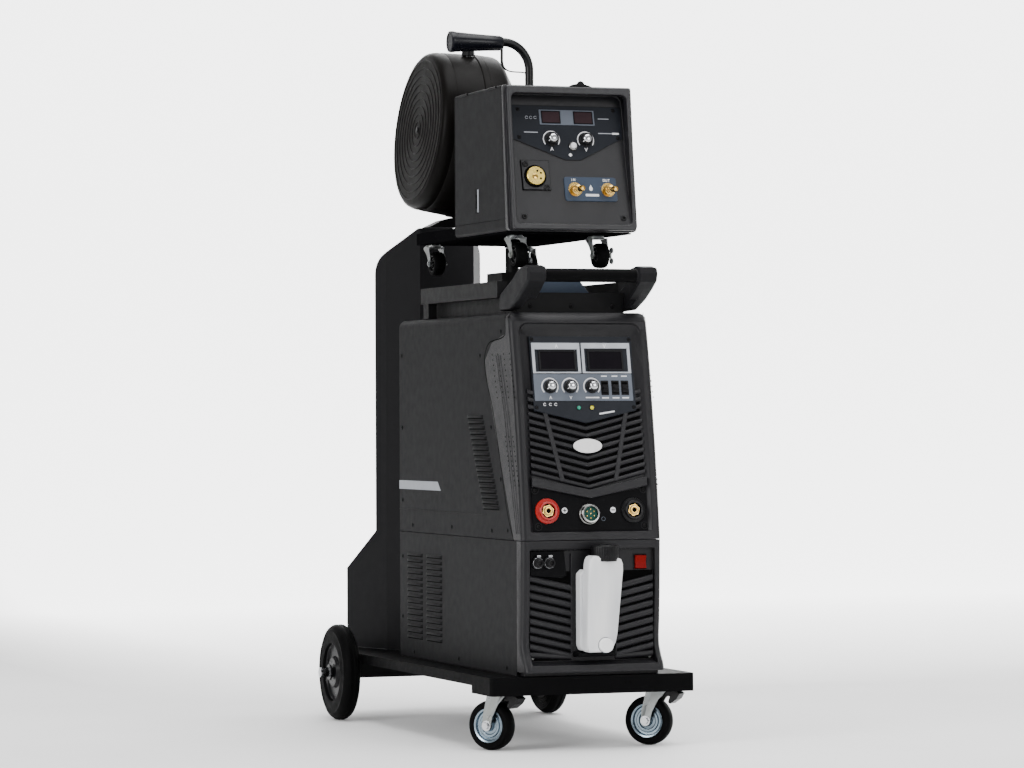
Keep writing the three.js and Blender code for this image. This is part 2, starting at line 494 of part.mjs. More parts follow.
function addFeederFront() {
  const { y, z, lean } = FEEDER_FACE;
  const frame = frameAt(cart, [0, y, z], { lean });
  const knob = [[0, GAP], [14, GAP], [13, 10], [9, 12], [8, 18], [0, 18]];
  for (const [name, x] of [['feeder_current_knob', -32], ['feeder_voltage_knob', 40]]) {
    add(frame, name, turned('-y', knob, 18), FINISH.steel(), [x, 0, 0.5]);
  }
  add(frame, 'purge_button', turned('-y', [[0, GAP], [6, GAP], [5, 9], [0, 10]], 12), FINISH.tank(), [12, 0, -13]);
  const flange = block([-32, 32], [-4, -GAP], [-32, 32]);
  const nose = turned('-y', [[0, 3], [23, 3], [22, 12], [0, 12]], 20);
  add(frame, 'euro_socket', join(flange, nose), FINISH.brass(), [-74, 0, -76]);
  const plate = block([-55, 55], [-3, -GAP], [-25, 25]);
  const hose = turned('-y', [[0, 2.6], [8, 2.6], [8, 12], [5, 14], [6, 24], [4.5, 44], [0, 44]], 12).rotateX(rad(lean));
  const barb = (x) => hose.clone().translate(x, 0, 1);
  add(frame, 'water_fittings', join(plate, barb(-32), barb(38)), FINISH.brass(), [41, 0, -101]);
}

function addWireDrive() {
  const { x, y, z, roll } = DRIVE;
  const floor = FEEDER.floor + 2 + GAP;
  const plate = block([x, x + 6], [y - 70, y + 90], [floor, 1190]);
  const motor = rod('x', 30, x + 5, x + 100, [0, y, z], 18);
  const shaft = rod('x', 4, x - 22, x + 1, [0, y, z], 10);
  const pivot = rod('x', 4, x - 20, x + 1, [0, y + 50, z + 42], 10);
  add(cart, 'wire_drive', join(plate, motor, shaft, pivot), FINISH.zinc());
  const rollProfile = [[4.4, -6], [roll, -6], [roll, -2], [roll - 1.5, 0], [roll, 2], [roll, 6], [4.4, 6], [4.4, -6]];
  add(cart, 'drive_roll', turned('x', rollProfile, 18), FINISH.steel(), [x - 12, y, z]);
  const arm = cut(
    join(block([-7, 7], [-62, 10], [-8, 8]), rod('x', 11, -6, 6, [0, -50, -14.5], 14)),
    rod('x', 4.4, -8, 8, [0, 0, 0], 12),
  );
  add(cart, 'pressure_arm', arm, FINISH.blackPlastic(), [x - 12, y + 50, z + 42]);
}

function addWireSpool() {
  const { y, z, lean, radius, seamRadius, wall, face, seam, back, backRadius } = DRUM;
  const frame = frameAt(cart, [0, y, z], { roll: lean });
  const cover = [
    [0, face], [radius - 10, face], [radius, face + 10], [seamRadius, seam - GAP], [seamRadius - wall, seam - GAP],
    [radius - wall, face + 11], [radius - 11, face + wall], [0, face + wall],
  ];
  add(frame, 'spool_cover', turned('x', cover, 30), FINISH.blackPlastic());
  const { bore, half, flange, wire, x } = SPOOL;
  const spool = [
    [bore, x - half], [SPOOL.radius, x - half], [SPOOL.radius, x - half + flange], [wire, x - half + flange],
    [wire, x + half - flange], [SPOOL.radius, x + half - flange], [SPOOL.radius, x + half], [bore, x + half], [bore, x - half],
  ];
  add(frame, 'wire_spool', turned('x', spool, 22), FINISH.copper());

  const lean4 = new THREE.Matrix4().makeRotationY(rad(lean)).setPosition(0, y, z);
  const backing = [
    [0, back - wall], [backRadius - wall, back - wall], [seamRadius - wall, seam + 36], [seamRadius - wall, seam],
    [seamRadius, seam], [seamRadius, seam + 36], [backRadius, back], [0, back],
  ];
  const housing = turned('x', backing, 30).applyMatrix4(lean4);
  const hub = turned('x', [[0, -112], [14, -112], [bore - 1, -106], [bore - 1, back], [0, back]], 14).applyMatrix4(lean4);
  const post = block([52, 72], [y - 32, FEEDER.baseRear - 4], [FEEDER.floor + GAP, z + 20]);
  add(cart, 'spool_post', join(housing, hub, post), FINISH.blackPlastic());
}

function addFeederHandle() {
  const at = (x, z) => new THREE.Vector3(x, FEEDER_HANDLE.y, z);
  const { x, y, tube, straight, top } = FEEDER_HANDLE;
  const bend = new THREE.CubicBezierCurve3(at(x, straight), at(x, top - 14), at(x - 20, top + 4), at(x - 70, top));
  const section = new THREE.Shape();
  section.absarc(0, 0, tube, 0, 2 * Math.PI, false);
  const corner = new THREE.ExtrudeGeometry(section, { steps: 9, extrudePath: bend, curveSegments: 6 });
  const upright = rod('z', tube, FEEDER.floor + GAP, straight + 3, [x, y, 0], 12);
  const grip = turned('x', [[0, -142], [19, -142], [22, -138], [22, -132], [15.6, -32], [14.4, -30], [0, -30]], 16, [0, y, top - 2.5]);
  add(cart, 'feeder_handle', join(upright, corner, grip), FINISH.blackPlastic());
}

function addFeederCasters() {
  for (const [corner, [x, y]] of Object.entries(FEEDER_CASTERS)) {
    addCaster(cart, `feeder_caster_${corner}`, FEEDER_CASTER, [x, y, FEEDER_CASTER.ground], 180);
  }
}

// ---------------------------------------------------------------- assembly

addDeck();
addRearWheels();
addFrontCasters();
addBottleCradle();
addCooler();
addPowerSource();
addCarrierTray();
addPushHandle();
addFeederBody();
addFeederFront();
addWireDrive();
addWireSpool();
addFeederHandle();
addFeederCasters();

export default cart;
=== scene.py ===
import json
from math import cos, pi, radians, sin

import bmesh
import bpy
from mathutils import Matrix, Vector


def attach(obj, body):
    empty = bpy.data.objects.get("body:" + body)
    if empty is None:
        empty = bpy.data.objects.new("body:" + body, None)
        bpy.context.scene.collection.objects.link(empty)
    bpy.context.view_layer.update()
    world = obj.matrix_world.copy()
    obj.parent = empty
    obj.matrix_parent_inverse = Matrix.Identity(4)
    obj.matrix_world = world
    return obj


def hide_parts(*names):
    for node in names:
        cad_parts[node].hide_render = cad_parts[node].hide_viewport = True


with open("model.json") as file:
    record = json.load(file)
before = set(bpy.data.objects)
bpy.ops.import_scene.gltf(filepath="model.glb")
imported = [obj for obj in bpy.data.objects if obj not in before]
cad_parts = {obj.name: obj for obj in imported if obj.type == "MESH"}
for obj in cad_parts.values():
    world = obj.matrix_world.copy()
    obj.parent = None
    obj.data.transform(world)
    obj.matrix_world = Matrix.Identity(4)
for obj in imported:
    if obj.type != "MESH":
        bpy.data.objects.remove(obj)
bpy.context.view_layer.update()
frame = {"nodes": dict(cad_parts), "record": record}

# Positions below are millimetres: x across, y to the rear, z up from 3 mm above the floor.
SHIFT = Vector((0, -0.1, 3))
CABINET_SIDE, FEEDER_SIDE, BEZEL_SIDE = 144.5, 135, 141.9


def spot(x, y, z):
    return (Vector((x, y, z)) + SHIFT) / 1000


class Place:
    """A flat working plane: u to the right, v up and w out towards whoever looks at it."""

    def __init__(self, origin, right, up):
        self.origin = Vector(origin)
        self.u, self.v = Vector(right).normalized(), Vector(up).normalized()
        self.w = self.u.cross(self.v)

    def at(self, u, v, w=0.0):
        return spot(*(self.origin + self.u * u + self.v * v + self.w * w))

    def moved(self, u, v, w=0.0):
        return Place(self.origin + self.u * u + self.v * v + self.w * w, self.u, self.v)

    def out(self, w):
        return self.moved(0, 0, w)


def leaning(y, z, degrees, x=0.0):
    a = radians(degrees)
    return Place((x, y, z), (1, 0, 0), (0, sin(a), cos(a)))


def polar(radius, degrees):
    return radius * cos(radians(degrees)), radius * sin(radians(degrees))


def side_face(x):
    return Place((x, 0, 0), (0, 1 if x > 0 else -1, 0), (0, 0, 1))


SIDES = (("left", -1, side_face(-CABINET_SIDE)), ("right", 1, side_face(CABINET_SIDE)))


# ---- materials

class Nodes:
    """Short names for the shader nodes that the materials below share."""

    def __init__(self, name):
        self.material = bpy.data.materials.new(name)
        self.material.use_nodes = True
        self.tree = self.material.node_tree
        self.shader = self.tree.nodes["Principled BSDF"]
        self.place = self.new("ShaderNodeTexCoord").outputs["Object"]

    def new(self, kind, **values):
        node = self.tree.nodes.new(kind)
        for key, value in values.items():
            if hasattr(node, key):
                setattr(node, key, value)
            else:
                node.inputs[key].default_value = value
        return node

    def link(self, out, into):
        self.tree.links.new(out, into)

    def feed(self, name, value):
        """Gives one of the shader's sockets a number, a colour or another node's output."""
        if isinstance(value, bpy.types.NodeSocket):
            self.link(value, self.shader.inputs[name])
        else:
            self.shader.inputs[name].default_value = value

    def noise(self, scale, detail=3.0, stretch=None):
        node = self.new("ShaderNodeTexNoise", Scale=scale, Detail=detail)
        source = self.place
        if stretch:
            mapping = self.new("ShaderNodeMapping", Scale=stretch)
            self.link(source, mapping.inputs["Vector"])
            source = mapping.outputs["Vector"]
        self.link(source, node.inputs["Vector"])
        return node.outputs["Fac"]

    def cells(self, scale):
        node = self.new("ShaderNodeTexVoronoi", Scale=scale)
        self.link(self.place, node.inputs["Vector"])
        return node.outputs["Distance"]

    def spread(self, value, low, high, start=0.3, end=0.7):
        node = self.new("ShaderNodeMapRange")
        for key, number in (("From Min", start), ("From Max", end), ("To Min", low), ("To Max", high)):
            node.inputs[key].default_value = number
        self.link(value, node.inputs["Value"])
        return node.outputs["Result"]

    def blend(self, factor, first, second):
        node = self.new("ShaderNodeMix", data_type="RGBA")
        for socket, value in ((node.inputs[0], factor), (node.inputs[6], first), (node.inputs[7], second)):
            if isinstance(value, tuple):
                socket.default_value = (*value, 1.0)
            else:
                self.link(value, socket)
        return node.outputs[2]

    def bump(self, height, strength, distance):
        node = self.new("ShaderNodeBump", Strength=strength, Distance=distance)
        self.link(height, node.inputs["Height"])
        return node.outputs["Normal"]


def shade(colour, factor):
    return tuple(min(1.0, c * factor) for c in colour)


def surface(name, colour, rough, grain, grain_size, cloud, specular, wear_and_edge_highlight=0.0, metal=0.0, streak=None,
        cells=False, coat=0.0, tint=None):
    """A painted, moulded or metal surface with mottled colour, uneven gloss and a fine relief; its sharp
    edges are lightened, partly as edge wear and partly as a painted highlight.
    """
    n = Nodes(name)
    fine = n.noise(grain_size, 2.0, streak)
    wide = n.noise(9.0, 4.0)
    base = n.blend(n.spread(wide, 0, 1), shade(colour, 1 - cloud), tint or shade(colour, 1 + cloud))
    base = n.blend(n.spread(fine, 0, 0.35), base, shade(colour, 0.72))
    # Pointiness lightens sharp edges: partly edge wear, partly a painted edge highlight.
    if wear_and_edge_highlight:
        edges = n.new("ShaderNodeNewGeometry").outputs["Pointiness"]
        base = n.blend(n.spread(edges, 0, wear_and_edge_highlight, 0.52, 0.6), base, shade(colour, 2.2))
    n.feed("Base Color", base)
    n.feed("Roughness", n.spread(n.noise(55.0), *rough))
    if grain:
        height = n.cells(grain_size * 0.7) if cells else fine
        n.feed("Normal", n.bump(height, grain, 0.0004))
    for key, value in (("Metallic", metal), ("Specular IOR Level", specular), ("Coat Weight", coat)):
        n.feed(key, value)
    return n.material


def glowing(name, colour, strength):
    n = Nodes(name)
    ring = n.spread(n.noise(300.0), 0.8, 1.0)
    n.feed("Base Color", n.blend(ring, shade(colour, 0.6), colour))
    n.feed("Roughness", n.spread(n.noise(80.0), 0.15, 0.25))
    n.feed("Emission Color", (*colour, 1))
    n.feed("Emission Strength", strength)
    return n.material


def milky(name):
    """Blow-moulded polyethylene with faint waves in the wall."""
    n = Nodes(name)
    waves = n.noise(26.0, 2.0, (1, 1, 0.25))
    n.feed("Base Color", n.blend(n.spread(waves, 0, 1), (0.6, 0.61, 0.63), (0.76, 0.76, 0.76)))
    n.feed("Roughness", n.spread(n.noise(140.0), 0.3, 0.42))
    n.feed("Normal", n.bump(waves, 0.12, 0.002))
    n.feed("Subsurface Weight", 0.12)
    n.feed("Subsurface Radius", (0.012, 0.012, 0.012))
    n.feed("Subsurface Scale", 1.0)
    return n.material


COAT = surface("charcoal_powder_coat", (0.007, 0.007, 0.0077), (0.54, 0.6), 0.22, 1100, 0.04, 0.08, 0.3)
DARK_COAT = surface("black_powder_coat", (0.0052, 0.0052, 0.0056), (0.46, 0.54), 0.3, 1000, 0.08, 0.1, 0.3)
FRAME_COAT = surface("deck_powder_coat", (0.0018, 0.0018, 0.002), (0.5, 0.6), 0.4, 900, 0.08, 0.03, 0.3)
MOULDING = surface("grained_moulding", (0.0072, 0.007, 0.0084), (0.36, 0.44), 0.5, 1300, 0.05, 0.24, 0.35,
        cells=True)
CHAMFER = surface("bezel_moulding", (0.009, 0.009, 0.0108), (0.32, 0.38), 0.4, 1300, 0.05, 0.34, 0.35,
        cells=True)
DARK_PANEL = surface("dark_panel", (0.003, 0.003, 0.0036), (0.5, 0.6), 0.3, 1500, 0.06, 0.06, cells=True)
PANEL = surface("panel_film", (0.009, 0.0108, 0.015), (0.4, 0.46), 0.15, 2200, 0.04, 0.12)
SILVER = surface("silver_film", (0.3, 0.315, 0.345), (0.34, 0.44), 0.06, 2500, 0.03, 0.5, metal=0.35)
STRIP = surface("steel_grey_film", (0.098, 0.112, 0.138), (0.4, 0.5), 0.06, 2500, 0.04, 0.2, metal=0.1)
BLUE_SHEET = surface("blue_grey_sheet", (0.03, 0.044, 0.07), (0.34, 0.45), 0.15, 1800, 0.06, 0.25, metal=0.2)
BLACK = surface("black_plastic", (0.0034, 0.0034, 0.004), (0.26, 0.36), 0.2, 1200, 0.08, 0.2, 0.3)
GRIP = surface("grip_plastic", (0.0032, 0.0036, 0.0062), (0.22, 0.3), 0.12, 900, 0.08, 0.2, 0.2)
GREY_PLASTIC = surface("grey_plastic", (0.0078, 0.0078, 0.0088), (0.46, 0.56), 0.4, 900, 0.05, 0.1, 0.3,
        cells=True)
DRUM = surface("drum_plastic", (0.0026, 0.0022, 0.002), (0.34, 0.42), 0.12, 1400, 0.06, 0.05, 0.3)
RUBBER = surface("tyre_rubber", (0.0022, 0.0022, 0.0024), (0.48, 0.6), 0.4, 700, 0.1, 0.03, 0.2)
ZINC = surface("zinc_plate", (0.27, 0.29, 0.31), (0.24, 0.4), 0.15, 500, 0.1, 0.5, 0.1, metal=1.0,
        tint=(0.3, 0.3, 0.26))
BLUE_ZINC = surface("blue_zinc", (0.24, 0.3, 0.35), (0.16, 0.3), 0.1, 400, 0.2, 0.5, metal=1.0)
CHROME = surface("chrome", (0.6, 0.61, 0.63), (0.08, 0.16), 0.03, 900, 0.04, 0.5, metal=1.0)
STEEL = surface("machined_steel", (0.5, 0.51, 0.53), (0.25, 0.36), 0.1, 700, 0.06, 0.5, metal=1.0,
        streak=(1, 1, 8))
BRASS = surface("brass", (0.62, 0.4, 0.11), (0.14, 0.26), 0.12, 800, 0.1, 0.5, metal=1.0,
        tint=(0.72, 0.48, 0.16))
PALE_BRASS = surface("nickel_brass", (0.7, 0.52, 0.13), (0.22, 0.34), 0.08, 800, 0.08, 0.5, metal=0.75)
RED = surface("red_plastic", (0.3, 0.008, 0.006), (0.22, 0.34), 0.1, 900, 0.08, 0.3, coat=0.1)
GREEN = surface("green_insert", (0.006, 0.06, 0.045), (0.35, 0.5), 0.1, 900, 0.1, 0.2)
WHITE = surface("white_print", (0.7, 0.7, 0.72), (0.45, 0.55), 0.05, 900, 0.03, 0.5)
BADGE = surface("badge_enamel", (0.66, 0.65, 0.65), (0.2, 0.3), 0.04, 900, 0.03, 0.5, coat=0.2)
# A darker, unglossy copy of the black coat for the feeder's base: its own black paint, darkened further as
# painted shade under the feeder.
UNDERSIDE_SHADE_BLACK = surface("under_coat", (0.0036, 0.0036, 0.004), (0.7, 0.8), 0.3, 1000, 0.1, 0.0)
CHROME_DARK = surface("dark_chrome", (0.26, 0.26, 0.25), (0.16, 0.26), 0.03, 900, 0.04, 0.5, metal=1.0)
CAP_WHITE = surface("white_polyethylene", (0.93, 0.93, 0.93), (0.3, 0.4), 0.05, 500, 0.02, 0.5)
STEEL_GREY = surface("grey_cap", (0.12, 0.125, 0.13), (0.4, 0.5), 0.1, 900, 0.06, 0.2, metal=0.2)
SHEET = surface("galvanised_sheet", (0.13, 0.135, 0.14), (0.42, 0.5), 0.1, 400, 0.05, 0.3, metal=0.7)
# Black that stands in for the shade inside holes, slots and recesses and behind grilles (painted shade); also
# used for seam lines and printed signs.
SHADE_AND_PRINT_BLACK = surface("dark_hole", (0.002, 0.002, 0.002), (0.8, 0.9), 0.1, 900, 0.05, 0.03)
GLASS = surface("dark_display", (0.0024, 0.0015, 0.0032), (0.3, 0.36), 0.02, 300, 0.3, 0.03)
BROWN_GLASS = surface("brown_display", (0.028, 0.016, 0.019), (0.3, 0.36), 0.02, 300, 0.1, 0.05)
RED_GLASS = surface("red_rocker", (0.17, 0.003, 0.003), (0.4, 0.5), 0.1, 900, 0.06, 0.06)
COPPER = surface("copper_wire", (0.72, 0.34, 0.16), (0.22, 0.36), 0.5, 260, 0.12, 0.5, metal=1.0,
        streak=(6, 1, 1))
FINS = surface("aluminium_fins", (0.14, 0.145, 0.15), (0.3, 0.45), 0.8, 300, 0.1, 0.5, metal=1.0,
        streak=(8, 1, 1))
TANK = milky("milky_polyethylene")
LAMP_GREEN = glowing("green_lamp", (0.01, 0.22, 0.14), 0.15)
LAMP_YELLOW = glowing("yellow_lamp", (0.55, 0.5, 0.02), 0.25)


# ---- mesh tools

class Shape:
    """Collects closed solids into one mesh, each face with its own material."""

    def __init__(self):
        self.bm = bmesh.new()
        self.materials = []

    def index(self, material):
        if material not in self.materials:
            self.materials.append(material)
        return self.materials.index(material)

    def face(self, verts, index):
        if len(set(verts)) > 2:
            self.bm.faces.new(verts).material_index = index

    def loft(self, rings, material, closed=False, caps=True):
        """Skins a row of rings of points; one point stands for a pole."""
        index = self.index(material)
        made = [[self.bm.verts.new(p) for p in ring] for ring in rings]
        pairs = list(zip(made, made[1:] + made[:1])) if closed else list(zip(made, made[1:]))
        for a, b in pairs:
            count = max(len(a), len(b))
            for i in range(count):
                j = (i + 1) % count
                quad = [a[i % len(a)], a[j % len(a)], b[j % len(b)], b[i % len(b)]]
                unique = [v for k, v in enumerate(quad) if v is not quad[k - 1]]
                self.face(unique, index)
        if caps and not closed:
            for ring, turn in ((made[0], -1), (made[-1], 1)):
                if len(ring) > 2:
                    self.face(ring[::turn], index)

    def prism(self, place, outline, low, high, material, inset=0.0):
        """An outline in (u, v) between two heights; inset draws the top in towards the outline's middle."""
        top = outline
        if inset:
            (cu, hu), (cv, hv) = [((max(row) + min(row)) / 2, (max(row) - min(row)) / 2)
                    for row in zip(*outline)]
            top = [(cu + (u - cu) * (hu - inset) / hu, cv + (v - cv) * (hv - inset) / hv) for u, v in outline]
        rings = [[place.at(u, v, low) for u, v in outline], [place.at(u, v, high) for u, v in top]]
        self.loft(rings, material)

    def slab(self, place, u, v, w, material, corner=0.0, inset=0.0):
        self.prism(place, rounded(*u, *v, corner), *w, material, inset)

    def disc(self, place, radius, low, high, material, segments=28, centre=(0, 0)):
        self.lathe(place, [(0, low), (radius, low), (radius, high), (0, high)], material, segments, centre)

    def lathe(self, place, profile, material, segments=28, centre=(0, 0)):
        """Turns (radius, height) points about the place's outward axis; a closed row makes a ring."""
        whole = profile[0] == profile[-1]
        turn = [2 * pi * i / segments for i in range(segments)]
        rings = []
        for r, w in (profile[:-1] if whole else profile):
            around = [place.at(centre[0] + r * cos(t), centre[1] + r * sin(t), w) for t in turn]
            rings.append(around if r else [place.at(*centre, w)])
        self.loft(rings, material, closed=whole)

    def arc_strip(self, place, inner, outer, start, end, low, high, material, centre=(0, 0), steps=18):
        angles = [radians(start + (end - start) * i / steps) for i in range(steps + 1)]
        outline = [(centre[0] + outer * cos(a), centre[1] + outer * sin(a)) for a in angles]
        outline += [(centre[0] + inner * cos(a), centre[1] + inner * sin(a)) for a in reversed(angles)]
        index = self.index(material)
        half = len(angles)
        bottom = [self.bm.verts.new(place.at(u, v, low)) for u, v in outline]
        top = [self.bm.verts.new(place.at(u, v, high)) for u, v in outline]
        count = len(outline)
        for i in range(count):
            self.face([bottom[i], bottom[(i + 1) % count], top[(i + 1) % count], top[i]], index)
        for i in range(half - 1):
            j = count - 1 - i
            self.face([top[i], top[i + 1], top[j - 1], top[j]], index)
            self.face([bottom[j], bottom[j - 1], bottom[i + 1], bottom[i]], index)

    def ring(self, place, inner, outer, *rest, **more):
        self.arc_strip(place, inner, outer, 0, 359.9, *rest, **more)

    def tube(self, points, radii, material, segments=14):
        """A round bar along a row of points, in metres."""
        points = [Vector(p) for p in points]
        radii = radii if isinstance(radii, (list, tuple)) else [radii] * len(points)
        tangents = [(points[min(i + 1, len(points) - 1)] - points[max(i - 1, 0)]).normalized()
                for i in range(len(points))]
        side = tangents[0].orthogonal().normalized()
        rings = []
        for point, tangent, radius in zip(points, tangents, radii):
            side = (side - tangent * side.dot(tangent)).normalized()
            other = tangent.cross(side)
            turn = [2 * pi * i / segments for i in range(segments)]
            rings.append([point + (side * cos(t) + other * sin(t)) * radius / 1000 for t in turn])
        self.loft(rings, material)

    def text(self, place, letter, u, v, size, material, height):
        """Plain stroke letters, enough for the signs a welder's panel needs."""
        strokes = {
            "A": [[(-.4, -.5), (0, .5), (.4, -.5)], [(-.25, -.12), (.25, -.12)]],
            "V": [[(-.4, .5), (0, -.5), (.4, .5)]],
            "I": [[(0, -.5), (0, .5)]],
            "N": [[(-.35, -.5), (-.35, .5), (.35, -.5), (.35, .5)]],
            "O": [[(-.35, -.5), (-.35, .5), (.35, .5), (.35, -.5), (-.35, -.5)]],
            "U": [[(-.35, .5), (-.35, -.5), (.35, -.5), (.35, .5)]],
            "T": [[(-.4, .5), (.4, .5)], [(0, .5), (0, -.5)]],
        }
        lines = [pair for row in strokes[letter] for pair in zip(row, row[1:])]
        for n, ((a, b), (c, d)) in enumerate(lines):
            self.bar(place, (u + a * size, v + b * size), (u + c * size, v + d * size), 0.2 * size, 0,
                    height + 0.02 * n, material)

    def bar(self, place, start, end, width, low, high, material):
        d = Vector(end) - Vector(start)
        side = Vector((-d.y, d.x)).normalized() * width / 2
        along = d.normalized() * width / 2 * 0.9
        a, b = Vector(start) - along, Vector(end) + along
        self.prism(place, [a - side, b - side, b + side, a + side], low, high, material)

    def screw(self, place, u, v, radius, height, metal=DARK_COAT):
        """A cross-recessed pan head; the black disc just wider than the head is a painted shade ring round
        it, and the black cross is painted shade in the recess.
        """
        self.disc(place, radius + 0.9, -0.3, 0.12, SHADE_AND_PRINT_BLACK, 14, (u, v))
        self.lathe(place, [(0, -0.2), (radius, -0.2), (radius, 0.5 * height), (0.7 * radius, height),
                (0, height)], metal, 14, (u, v))
        for a in (40, 130):
            d = Vector(polar(1, a)) * radius * 0.55
            self.bar(place, (u - d.x, v - d.y), (u + d.x, v + d.y), 0.18 * radius, height - 0.4,
                    height + 0.08 + a / 9000, SHADE_AND_PRINT_BLACK)

    def done(self, name, body, bevel=0.0, segments=2, angle=32, replaces=(), smooth=34):
        bmesh.ops.recalc_face_normals(self.bm, faces=self.bm.faces)
        mesh = bpy.data.meshes.new(name)
        self.bm.to_mesh(mesh)
        self.bm.free()
        for material in self.materials:
            mesh.materials.append(material)
        finished(mesh, name, body, bevel, segments, angle, replaces, smooth)

    def skin(self, node, bevel=0.0, segments=2, angle=32, smooth=34):
        """Ends a shape that stands in for a CAD node."""
        self.done(node + "_skin", BODY_OF[node], bevel, segments, angle, [node], smooth)


def linked(name, data):
    thing = bpy.data.objects.new(name, data)
    bpy.context.scene.collection.objects.link(thing)
    return thing


def finished(mesh, name, body, bevel, segments, angle, replaces, smooth, weighted=False):
    mesh.polygons.foreach_set("use_smooth", [True] * len(mesh.polygons))
    mesh.set_sharp_from_angle(angle=radians(smooth))
    piece = linked(name, mesh)
    if bevel:
        modifier = piece.modifiers.new("edge", "BEVEL")
        modifier.width = bevel / 1000
        modifier.segments = segments
        modifier.limit_method = "WEIGHT" if weighted else "ANGLE"
        modifier.use_clamp_overlap = not weighted
        modifier.angle_limit = radians(angle)
        modifier.harden_normals = True
        modifier.miter_outer = "MITER_ARC"
    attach(piece, body)
    for node in replaces:
        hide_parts(node)


BODY_OF = {node: body for body, nodes in frame["record"]["behaviour"]["bodies"].items() for node in nodes}


def dressed(node, material, bevel=0.8, segments=2, width_of=None, paint=None):
    """The CAD node's own shape with softened edges; width_of gives an edge's bevel from its two ends."""
    source = frame["nodes"][node].data
    bm = bmesh.new()
    bm.from_mesh(source)
    bmesh.ops.remove_doubles(bm, verts=bm.verts, dist=2e-5)
    bmesh.ops.dissolve_limit(bm, angle_limit=radians(0.5), verts=bm.verts, edges=bm.edges)
    weight = bm.edges.layers.float.new("bevel_weight_edge")
    widest = bevel
    if width_of:
        widest = 12.0
        for edge in bm.edges:
            if len(edge.link_faces) == 2 and edge.calc_face_angle(0) > radians(28):
                ends = [v.co * 1000 - SHIFT for v in edge.verts]
                edge[weight] = width_of(*ends) / widest
    mesh = bpy.data.meshes.new(node + "_skin")
    materials = material if isinstance(material, (list, tuple)) else [material]
    for face in bm.faces:
        face.material_index = int(paint(face.calc_center_median() * 1000 - SHIFT)) if paint else 0
    bm.to_mesh(mesh)
    bm.free()
    for item in materials:
        mesh.materials.append(item)
    finished(mesh, node + "_skin", BODY_OF[node], widest, segments, 28, [node], 30,
            bool(width_of))


CORNER_STEPS = 5


def rounded(u0, u1, v0, v1, r):
    if r <= 0:
        return [(u0, v0), (u1, v0), (u1, v1), (u0, v1)]
    points = []
    for cu, cv, start in ((u1 - r, v0 + r, -90), (u1 - r, v1 - r, 0), (u0 + r, v1 - r, 90),
            (u0 + r, v0 + r, 180)):
        for i in range(CORNER_STEPS + 1):
            a = radians(start + 90 * i / CORNER_STEPS)
            points.append((cu + r * cos(a), cv + r * sin(a)))
    return points


def curve(points, count):
    """Points on a smooth Catmull-Rom line through the given ones."""
    points = [Vector(p) for p in points]
    ends = [2 * points[0] - points[1], *points, 2 * points[-1] - points[-2]]
    out = []
    for a, b, c, d in zip(ends, ends[1:], ends[2:], ends[3:]):
        for i in range(count):
            t = i / count
            bend, twist = 2 * a - 5 * b + 4 * c - d, 3 * b - 3 * c + d - a
            out.append(0.5 * (2 * b + (c - a) * t + bend * t * t + twist * t * t * t))
    return out + [points[-1]]


# ---- camera, floor and lights

# Angles are in degrees; the lens, its sensor and the place are in millimetres.
CAMERA = {"az": -19.93, "pitch": 0.52, "roll": -0.24, "lens": 132.09575, "at": (-2622.8, -7297.6, 638.2)}
SENSOR_WIDTH = 36


def add_camera():
    a, pitch, roll = radians(CAMERA["az"]), radians(CAMERA["pitch"]), radians(CAMERA["roll"])
    ahead = Vector((-sin(a) * cos(pitch), cos(a) * cos(pitch), sin(pitch)))
    right = Vector((cos(a), sin(a), 0))
    up = right.cross(ahead)
    across = right * cos(roll) + up * sin(roll)
    above = -right * sin(roll) + up * cos(roll)
    camera = linked("camera", bpy.data.cameras.new("camera"))
    camera.data.sensor_width = SENSOR_WIDTH
    camera.data.lens = CAMERA["lens"]
    camera.data.clip_end = 60
    turn = Matrix((across, above, -ahead)).transposed().to_4x4()
    camera.matrix_world = Matrix.Translation(spot(*CAMERA["at"])) @ turn
    bpy.context.scene.camera = camera


def add_floor():
    """A pale floor that curves up into a backdrop far behind the object."""
    bm = bmesh.new()
    profile = [(-14, 0), (5, 0)]
    profile += [(5 + 3 * sin(radians(a)), 3 - 3 * cos(radians(a))) for a in range(10, 91, 10)] + [(8, 12)]
    rows = [[bm.verts.new((x, y, z)) for x in (-16, 16)] for y, z in profile]
    for a, b in zip(rows, rows[1:]):
        bm.faces.new([a[0], a[1], b[1], b[0]])
    mesh = bpy.data.meshes.new("floor")
    bm.to_mesh(mesh)
    bm.free()
    mesh.polygons.foreach_set("use_smooth", [True] * len(mesh.polygons))
    n = Nodes("pale_floor")
    n.feed("Base Color", n.blend(n.spread(n.noise(1.5), 0, 1), (0.86, 0.86, 0.86), (0.9, 0.9, 0.9)))
    n.feed("Roughness", 0.7)
    n.feed("Specular IOR Level", 0.1)
    apart = n.new("ShaderNodeSeparateXYZ")
    n.link(n.place, apart.inputs["Vector"])
    n.feed("Emission Color", (1, 1, 1, 1))
    glow = n.new("ShaderNodeMath", operation="MULTIPLY")
    n.link(n.spread(apart.outputs["Y"], 0.0, 3.4, 0.9, 5.0), glow.inputs[0])
    n.link(n.spread(apart.outputs["X"], 0.0, 1.0, -0.5, 0.2), glow.inputs[1])
    n.feed("Emission Strength", glow.outputs[0])
    mesh.materials.append(n.material)
    linked("floor", mesh)


def add_light(name, at, target, size, power):
    light = bpy.data.lights.new(name, "AREA")
    light.shape = "RECTANGLE"
    light.size, light.size_y = size
    light.energy = power
    lamp = linked(name, light)
    lamp.location = at
    lamp.rotation_mode = "QUATERNION"
    lamp.rotation_quaternion = (Vector(at) - Vector(target)).to_track_quat("Z", "Y")


